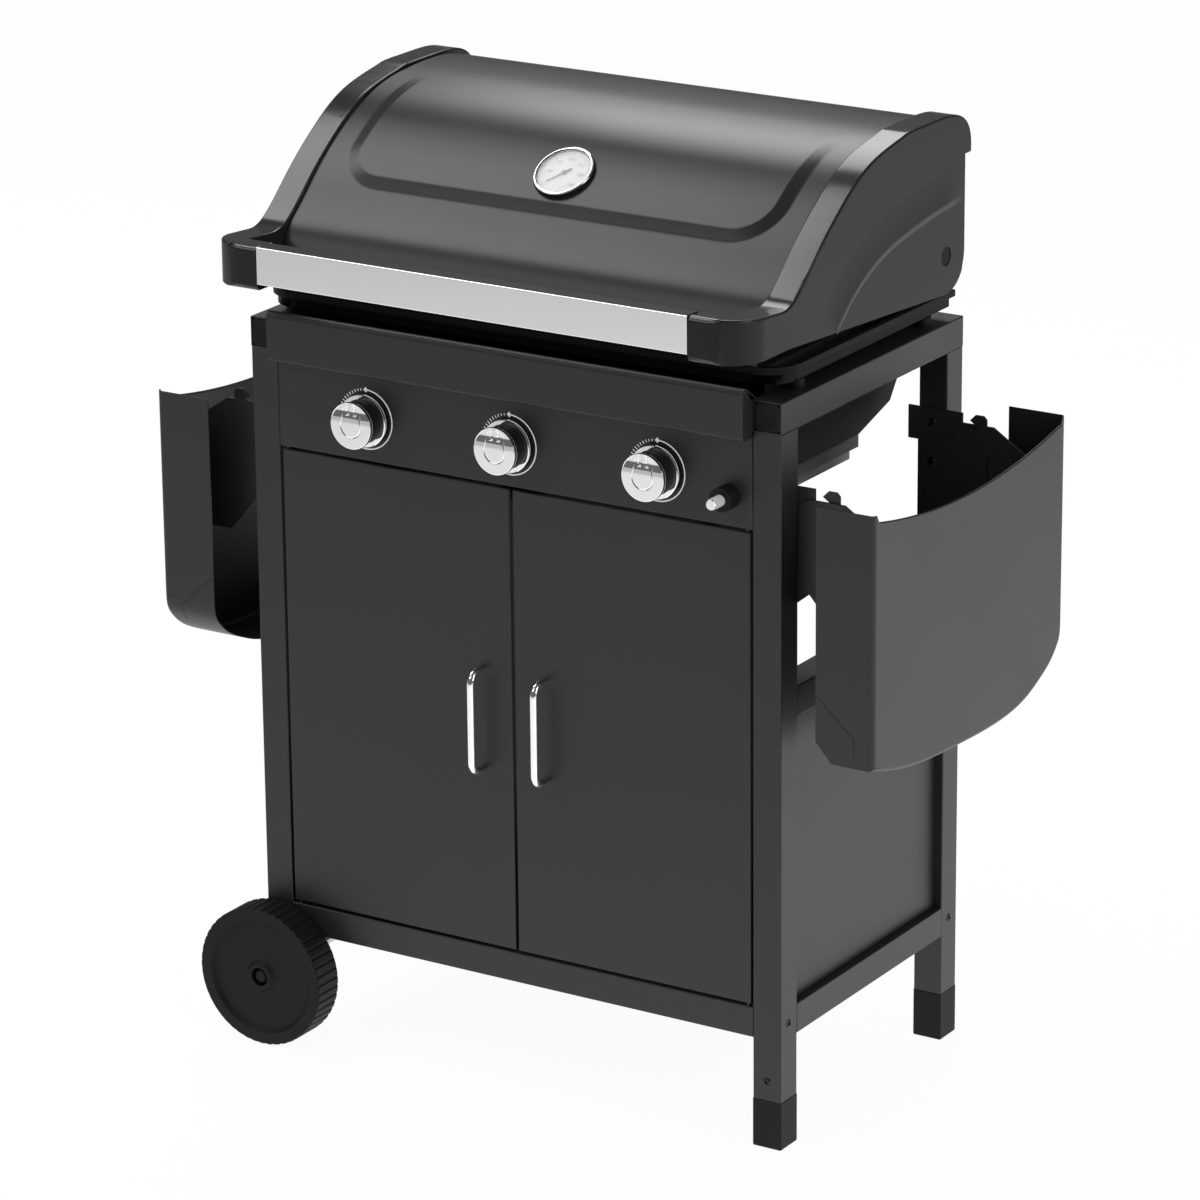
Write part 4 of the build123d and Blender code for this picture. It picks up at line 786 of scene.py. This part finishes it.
# The lid's ends: hollow castings in black paint, with rounded rims, a soft step across the outside and noses
# that turn in to the handle. Headed pins carry them on the hinge ears.
lid_black = ((0.010, 0.010, 0.0105), (0.014, 0.014, 0.0145))
cast_paint = Finish("glossy_black_cast_paint", IOR=1.57)
pebble = cast_paint.noise(500.0)
cast_paint.colour(pebble, *lid_black)
cast_paint.feed("Roughness", 0.16 + 0.06 * pebble)
cast_paint.relief(pebble, 0.10 * mm, strength=0.15)
side_paint = Finish("matt_black_cast_paint", IOR=1.31)
sand = side_paint.noise(700.0)
side_paint.colour(sand, *lid_black)
side_paint.feed("Roughness", 0.36 + 0.08 * sand)
side_paint.relief(sand, 0.10 * mm, strength=0.25)


def joint_named(name):
    """A joint of the frame, by its name."""
    return next(joint for joint in frame["joints"] if joint["name"] == name)


def middle_of(edge):
    """The place halfway along an edge."""
    return (edge.verts[0].co + edge.verts[1].co) / 2


hinge_spot = Vector(joint_named("lid_hinge")["pos_m"])
recess = 14 * mm
rim_foot = 908 * mm
side_slope = 0.4


def lid_rim(edge):
    """The outer rims of a lid end, but for the pin's recess and the hollow below."""
    middle = middle_of(edge)
    beside = math.hypot(middle.y - hinge_spot.y, middle.z - hinge_spot.z) > recess
    return sharp(edge) and beside and middle.z > rim_foot


for side in ("left", "right"):
    end_mesh = softened(f"lid_end_{side}", cast_paint, 2.4 * mm, lid_rim, segments=4).data
    end_mesh.materials.append(side_paint.material)
    for face in end_mesh.polygons:
        face.material_index = int(abs(face.normal.z) < side_slope)
lid_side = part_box("lid_end_right")[1].x
# The step's line as depths behind the legs' front and heights, and its section as places across that line
# and rises from the casting, all in millimetres.
crease = (
    (390, 987), (340, 984), (290, 978), (240, 970), (200, 959), (165, 943), (138, 925), (120, 909),
    (112, 901),
)
crease_section = (
    (40, -0.05), (28, 0.2), (16, 0.75), (8, 1.3), (4, 1.65), (2, 1.8), (0.5, 1.7), (-5.0, 0.1), (-6.0, -0.1),
)
crease_parts = 6
crease_passes = 8
crease_taper = 4


def finer(points, parts, passes):
    """A line with each stretch cut into parts, and its corners smoothed in passes."""
    line = [a.lerp(b, k / parts) for a, b in zip(points, points[1:]) for k in range(parts)] + points[-1:]
    for _ in range(passes):
        line = line[:1] + [(a + 2 * b + c) / 4 for a, b, c in zip(line, line[1:], line[2:])] + line[-1:]
    return line


crease_line = finer([Vector((leg_front + y * mm, z * mm)) for y, z in crease], crease_parts, crease_passes)
crease_last = len(crease_line) - 1
for side, sign in (("left", -1), ("right", 1)):
    rows = []
    for offset, rise in crease_section:
        rows.append([])
        for k, spot in enumerate(crease_line):
            ahead = crease_line[min(k + 1, crease_last)] - crease_line[max(k - 1, 0)]
            place = spot + Vector((ahead.y, -ahead.x)).normalized() * offset * mm
            height = rise * mm * min(k / crease_taper, (crease_last - k) / crease_taper, 1.0)
            rows[-1].append((sign * (lid_side + height), place.x, place.y))
    step_mesh = evened(woven(f"lid_crease_{side}", [rows[::sign]]), side_paint)
    piece_of(f"lid_crease_{side}", step_mesh, "lid")
enamel.paint("lid_hinge_pins")

# The lid's sheet: one rolled steel sheet in satin paint, with a raised panel pressed into its crown. The
# panel's sides run up over the crest and die out behind it.
lid_paint = Finish("satin_black_lid_paint", IOR=1.46)
mist = lid_paint.noise(7.0, detail=3.0)
peel = lid_paint.noise(420.0, detail=1.0)
lid_paint.colour(mist, *lid_black)
lid_paint.feed("Roughness", 0.27 + 0.06 * mist)
lid_paint.relief(peel, 0.08 * mm, strength=0.25)


def surface_of(node):
    """The surface of a CAD node, to be met by rays."""
    mesh = nodes[node].data
    places = [vert.co for vert in mesh.vertices]
    return BVHTree.FromPolygons(places, [face.vertices for face in mesh.polygons])


sheet_low, sheet_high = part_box("lid_sheet")
sheet_half = sheet_high.x
sheet_wall = 1.5 * mm
heart_depth = 200 * mm
tail_reach = 1 * mm
heart = Vector((sheet_half / 2, leg_front + heart_depth, sheet_low.z))
tail_z = min(v.co.z for v in nodes["lid_sheet"].data.vertices if v.co.y > sheet_high.y - tail_reach)
tail_angle = math.pi - math.atan2(tail_z - heart.z, sheet_high.y - heart.y)
rolled_sheet = surface_of("lid_sheet")
profile = [Vector((0, sheet_low.y, sheet_low.z))]
ray_count = 400
for step in range(1, ray_count):
    angle = tail_angle * step / ray_count
    out = Vector((0, -math.cos(angle), math.sin(angle)))
    hit = rolled_sheet.ray_cast(heart + out, -out)[0]
    profile.append(Vector((0, hit.y, hit.z)))
profile.append(Vector((0, sheet_high.y, tail_z)))
run = [0.0]
for before, after in zip(profile, profile[1:]):
    run.append(run[-1] + (after - before).length)
crown_foot = 950 * mm


def along(distance):
    """The place on the sheet's profile at a distance from its front edge."""
    index = next((k for k in range(1, len(run) - 1) if run[k] >= distance), len(run) - 1)
    share = (distance - run[index - 1]) / (run[index] - run[index - 1])
    return profile[index - 1].lerp(profile[index], share)


def distance_at(y):
    """The distance along the profile to a depth on the crown."""
    return next(run[k] for k, place in enumerate(profile) if place.y >= y and place.z > crown_foot)


def stations(start, end, coarse, fine, dense_from, dense_to):
    """Places from start to end, in coarse steps that turn fine over one stretch."""
    places = [start]
    while places[-1] < end - 1e-6:
        step = fine if dense_from <= places[-1] < dense_to else coarse
        places.append(min(places[-1] + step, end))
    return places


emboss_half = 279 * mm
emboss_corner = 57 * mm
emboss_step = 15 * mm
emboss_rise = 3.8 * mm
emboss_foot = distance_at(leg_front + 75.5 * mm)
fade_from = distance_at(leg_front + 150 * mm)
fade_to = distance_at(leg_front + 255 * mm)


def eased(share):
    """A share from 0 to 1 with a slow start and a slow end."""
    share = min(max(share, 0.0), 1.0)
    return share * share * (3 - 2 * share)


def emboss(x, distance):
    """How far the pressed panel stands up at a place on the sheet."""
    u = abs(x) - (emboss_half - emboss_corner)
    v = emboss_foot + emboss_corner - distance
    depth = emboss_corner - math.hypot(max(u, 0.0), max(v, 0.0)) - min(max(u, v), 0.0)
    fade = 1 - eased((distance - fade_from) / (fade_to - fade_from))
    return emboss_rise * min(max(depth / emboss_step, 0.0), 1.0) * fade


row_net = 4 * mm
column_net = 8 * mm
fine_net = 1.6 * mm
net_margin = 2 * mm
net_passes = 4
levels = stations(0.0, run[-1], row_net, fine_net, emboss_foot - row_net, emboss_foot + emboss_corner)
half_columns = stations(
    0.0, sheet_half, column_net, fine_net, emboss_half - emboss_corner, emboss_half + net_margin)
columns = [-x for x in half_columns[:0:-1]] + half_columns
line = finer([along(distance) for distance in levels], 1, net_passes)
rows = []
for index, distance in enumerate(levels):
    ahead = line[min(index + 1, len(line) - 1)] - line[max(index - 1, 0)]
    normal = Vector((0, -ahead.z, ahead.y)).normalized()
    places = [line[index] + normal * emboss(x, distance) for x in columns]
    rows.append([(x, place.y, place.z) for x, place in zip(columns, places)])
skin = woven("lid_skin", [rows])
skin.materials.append(lid_paint.material)
skin.shade_smooth()
raw_skin = linked("raw_skin", skin)
thick = raw_skin.modifiers.new("thick", "SOLIDIFY")
thick.thickness = sheet_wall
thick.offset = -1.0
pressed = made_plain(raw_skin, "lid_skin")
pressed.set_sharp_from_angle(angle=math.radians(40))
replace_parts(piece_of("shown_lid_sheet", pressed, "lid"), "lid_sheet")


# The lid's handle: an aluminium channel held between the noses of the lid's ends. It is brushed silver on its
# face and black behind.
def drawn_bar(name, outline, half, edge):
    """A mesh of a bar with rounded ends, drawn both ways from a closed outline to half its length."""
    drawing = bpy.data.curves.new(name, "CURVE")
    drawing.dimensions = "2D"
    drawing.fill_mode = "BOTH"
    drawing.extrude = half - edge
    drawing.bevel_depth = edge
    drawing.bevel_resolution = 3
    drawing.offset = -edge
    spline = drawing.splines.new("POLY")
    spline.points.add(len(outline) - 1)
    for point, (u, v) in zip(spline.points, outline):
        point.co = (u, v, 0.0, 1.0)
    spline.use_cyclic_u = True
    return made_plain(linked(name, drawing), name)


grip_low, grip_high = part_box("lid_handle")
grip_wall = 3 * mm
grip_corner = 1.4 * mm
grip_end = 0.2 * mm
grip_slope = 0.5
bend_steps = 4
grip_outline = [(grip_high.y, grip_low.z)]
for level, into in ((grip_low.z, 1), (grip_high.z, -1)):
    bend = []
    for step in range(bend_steps + 1):
        angle = math.pi / 2 * step / bend_steps
        bend.append((
            grip_low.y + grip_corner * (1 - math.sin(angle)),
            level + into * grip_corner * (1 - math.cos(angle))))
    grip_outline += bend[::into]
grip_outline += [
    (grip_high.y, grip_high.z), (grip_high.y, grip_high.z - grip_wall),
    (grip_low.y + grip_wall, grip_high.z - grip_wall), (grip_low.y + grip_wall, grip_low.z + grip_wall),
    (grip_high.y, grip_low.z + grip_wall),
]
grip = drawn_bar("lid_handle", grip_outline, grip_high.x, grip_end)
grip.transform(Matrix(((0, 0, 1, 0), (1, 0, 0, 0), (0, 1, 0, 0), (0, 0, 0, 1))))
grip_mesh = shown("lid_handle", grip, silver).data
grip_mesh.materials.append(moulded_black.material)
for face in grip_mesh.polygons:
    face.material_index = int(face.normal.y > -grip_slope)

# The thermometer: a black case with a chromed bezel and its probe through the lid, a white dial with a
# printed scale, a needle on a pin and a flat glass.
pointer = joint_named("gauge_pointer_turn")
gauge_normal = -Vector(pointer["axis"]).normalized()
gauge_up = gauge_normal.cross(Vector((1, 0, 0)))
gauge_place = Matrix.Translation(pointer["pos_m"]) @ Matrix(
    (Vector((1, 0, 0)), gauge_up, gauge_normal)).transposed().to_4x4()
# The radius of each ring of the case and its level along the needle's axis, in millimetres.
case_rings = (
    (1.2, 3.2), (31.0, 3.2), (31.0, 8.6), (31.5, 9.2), (32.6, 9.5), (33.8, 9.2), (34.7, 8.4), (35.0, 7.2),
    (35.0, 3.4), (35.6, 3.2), (35.8, 2.6), (35.8, 0.4), (5.0, 0.4), (5.0, -44.0), (1.0, -44.7),
)
case_bands = [0, 1, 1, 0, 0, 0, 1, 1, 1, 1, 1, 1, 0, 0]
case = spun(
    [(radius * mm, level * mm) for radius, level in case_rings],
    segments=96, finishes=(chrome, moulded_black), bands=case_bands)
case.transform(gauge_place)
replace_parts(piece_of("shown_gauge_case", case, "lid"), "gauge_case")
dial_white = Finish("dial_white")
speck = dial_white.noise(600.0)
dial_white.colour(speck, (0.90, 0.90, 0.90), (0.94, 0.94, 0.94))
dial_white.feed("Roughness", 0.5 + 0.1 * speck)
dial_white.paint("gauge_dial")
dial_ink = Finish("dial_ink")
blot = dial_ink.noise(900.0)
dial_ink.colour(blot, (0.03, 0.03, 0.03), (0.05, 0.05, 0.05))
dial_ink.feed("Roughness", 0.5 + 0.1 * blot)
dial_level = 4.2 * mm
scale_start = math.radians(225)
scale_sweep = math.radians(270)
scale_radius = 29 * mm
tick_count = 31
long_every = 5
long_tick = (0.9 * mm, 3.6 * mm)
short_tick = (0.5 * mm, 2.0 * mm)
tick_spots = []
for step in range(tick_count):
    angle = scale_start - scale_sweep * step / (tick_count - 1)
    width, length = short_tick if step % long_every else long_tick
    out = Vector((math.cos(angle), math.sin(angle), 0))
    place = gauge_place @ (out * (scale_radius - length / 2) + Vector((0, 0, dial_level)))
    heading = gauge_place.to_quaternion() @ Quaternion((0, 0, 1), angle - math.pi / 2)
    tick_spots.append((place, heading, (width, length, 1.0)))
piece_of("dial_ticks", repeat("dial_ticks", stroke, tick_spots, dial_ink), "lid")
figure_radius = 20 * mm
figure_size = 6.4 * mm
degrees = range(50, 400, 50)
figures = bmesh.new()
for step, number in enumerate(degrees):
    angle = scale_start - scale_sweep * step / (len(degrees) - 1)
    words = bpy.data.curves.new("figure", "FONT")
    words.body = str(number)
    words.size = figure_size
    words.align_x = "CENTER"
    words.align_y = "CENTER"
    figure = made_plain(linked("figure", words), "figure")
    spot = Vector((figure_radius * math.cos(angle), figure_radius * math.sin(angle), dial_level))
    figure.transform(gauge_place @ Matrix.Translation(spot))
    figures.from_mesh(figure)
figure_mesh = bpy.data.meshes.new("dial_figures")
figures.to_mesh(figure_mesh)
figures.free()
figure_mesh.materials.append(dial_ink.material)
piece_of("dial_figures", figure_mesh, "lid")
needle_black = Finish("needle_black")
dust = needle_black.noise(600.0)
needle_black.colour(dust, (0.02, 0.02, 0.02), (0.03, 0.03, 0.03))
needle_black.feed("Roughness", 0.5 + 0.1 * dust)
needle_black.paint("gauge_needle")
clear_glass = Finish("gauge_glass", Transmission_Weight=1.0, IOR=1.45)
wipe = clear_glass.noise(30.0)
clear_glass.colour(wipe, (0.97, 0.98, 0.98), (1.0, 1.0, 1.0))
clear_glass.feed("Roughness", 0.02 + 0.02 * wipe)
clear_glass.paint("gauge_glass")

# The table brackets: plates pressed from steel sheet and bolted to the legs, each stiffened by a long upright
# rib. The tables' hangers have the same coat.
powder_coat.paint("table_brackets", "table_hangers_left", "table_hangers_right")
rib = spun([(0.5, 0.0), (0.47, 0.6), (0.36, 1.0)], segments=16)
rib_x = 346.5 * mm
rib_low = 632 * mm
rib_high = 704 * mm
rib_width = 4.0 * mm
rib_rise = 0.8 * mm
rib_size = (rib_width, rib_high - rib_low, rib_rise)
rib_spots = [
    (Vector((side * rib_x, face, (rib_low + rib_high) / 2)), outward(0, facing, 0), rib_size)
    for side in (-1, 1) for face, facing in ((leg_front + tube, -1), (leg_back - tube, 1))
]
piece_of("bracket_ribs", repeat("bracket_ribs", rib, rib_spots, powder_coat), "cart")

# The side tables: pressed steel sheets with deep skirts, folded down beside the cart. Their free edge is
# hemmed, and a seam runs round the lower corner of each end skirt, where the corner is let in.
table_wall = 1.2 * mm
fold_radius = 6 * mm
hem_radius = 1.5 * mm
hem_sag = 22 * mm
hem_steps = 40
ear_width = 11 * mm
ear_height = 10 * mm
free_edge = 120 * mm
seam_width = 0.8 * mm
seam_lift = 0.1 * mm
seam_path = ((393, 540), (437, 501), (437, 479))
seam_steps = 16
seam_line = [
    Vector(a).lerp(Vector(b), step / seam_steps) * mm
    for a, b in zip(seam_path, seam_path[1:]) for step in range(seam_steps)
]


def table_folds(name, depth, convex):
    """A choice of the folds between a table's face and its skirts, at a depth behind the face."""
    low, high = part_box(name)
    far = max(abs(low.x), abs(high.x))

    def choice(edge):
        middle = middle_of(edge)
        flat = all(abs(abs(vert.co.x) - far + depth) < flatness for vert in edge.verts)
        end = min(middle.y - low.y, high.y - middle.y) - depth < flatness
        below = middle.z < high.z - free_edge
        return flat and sharp(edge, convex=convex) and (end or below)
    return choice


for side, sign in (("left", -1), ("right", 1)):
    name = f"table_{side}"
    table_low, table_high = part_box(name)
    face_x = sign * max(abs(table_low.x), abs(table_high.x))
    outer = table_folds(name, 0.0, True)
    inner = table_folds(name, table_wall, False)
    softened(name, powder_coat, fold_radius, outer, segments=5, inside=inner, wall=table_wall)
    bead = bpy.data.curves.new(f"table_hem_{side}", "CURVE")
    bead.dimensions = "3D"
    bead.bevel_depth = hem_radius
    bead.bevel_resolution = 3
    bead.use_fill_caps = True
    spline = bead.splines.new("POLY")
    spline.points.add(hem_steps)
    reach = (table_high.y - table_low.y) / 2 - ear_width
    for step, point in enumerate(spline.points):
        share = 2 * step / hem_steps - 1
        level = table_high.z - ear_height - hem_sag * (1 - share * share)
        point.co = (face_x - sign * hem_radius, (table_low.y + table_high.y) / 2 + reach * share, level, 1.0)
    hem = evened(made_plain(linked(f"table_hem_{side}", bead), f"table_hem_{side}"), powder_coat)
    piece_of(f"table_hem_{side}", hem, nodes[name]["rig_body"])
    skirts = surface_of(name)
    seams = []
    for outside in (-1, 1):
        rows = []
        for shift in (0.0, seam_width):
            rows.append([])
            for x, z in seam_line:
                away = Vector((sign * (x - shift), outside, z - shift / 2))
                spot = skirts.ray_cast(away, Vector((0, -outside, 0)))[0]
                rows[-1].append(spot + Vector((0, outside * seam_lift, 0)))
        seams.append(rows[::sign * outside])
    seam = woven(f"table_seam_{side}", seams)
    seam.materials.append(port_shade_and_seam_black.material)
    piece_of(f"table_seam_{side}", seam, nodes[name]["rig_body"])
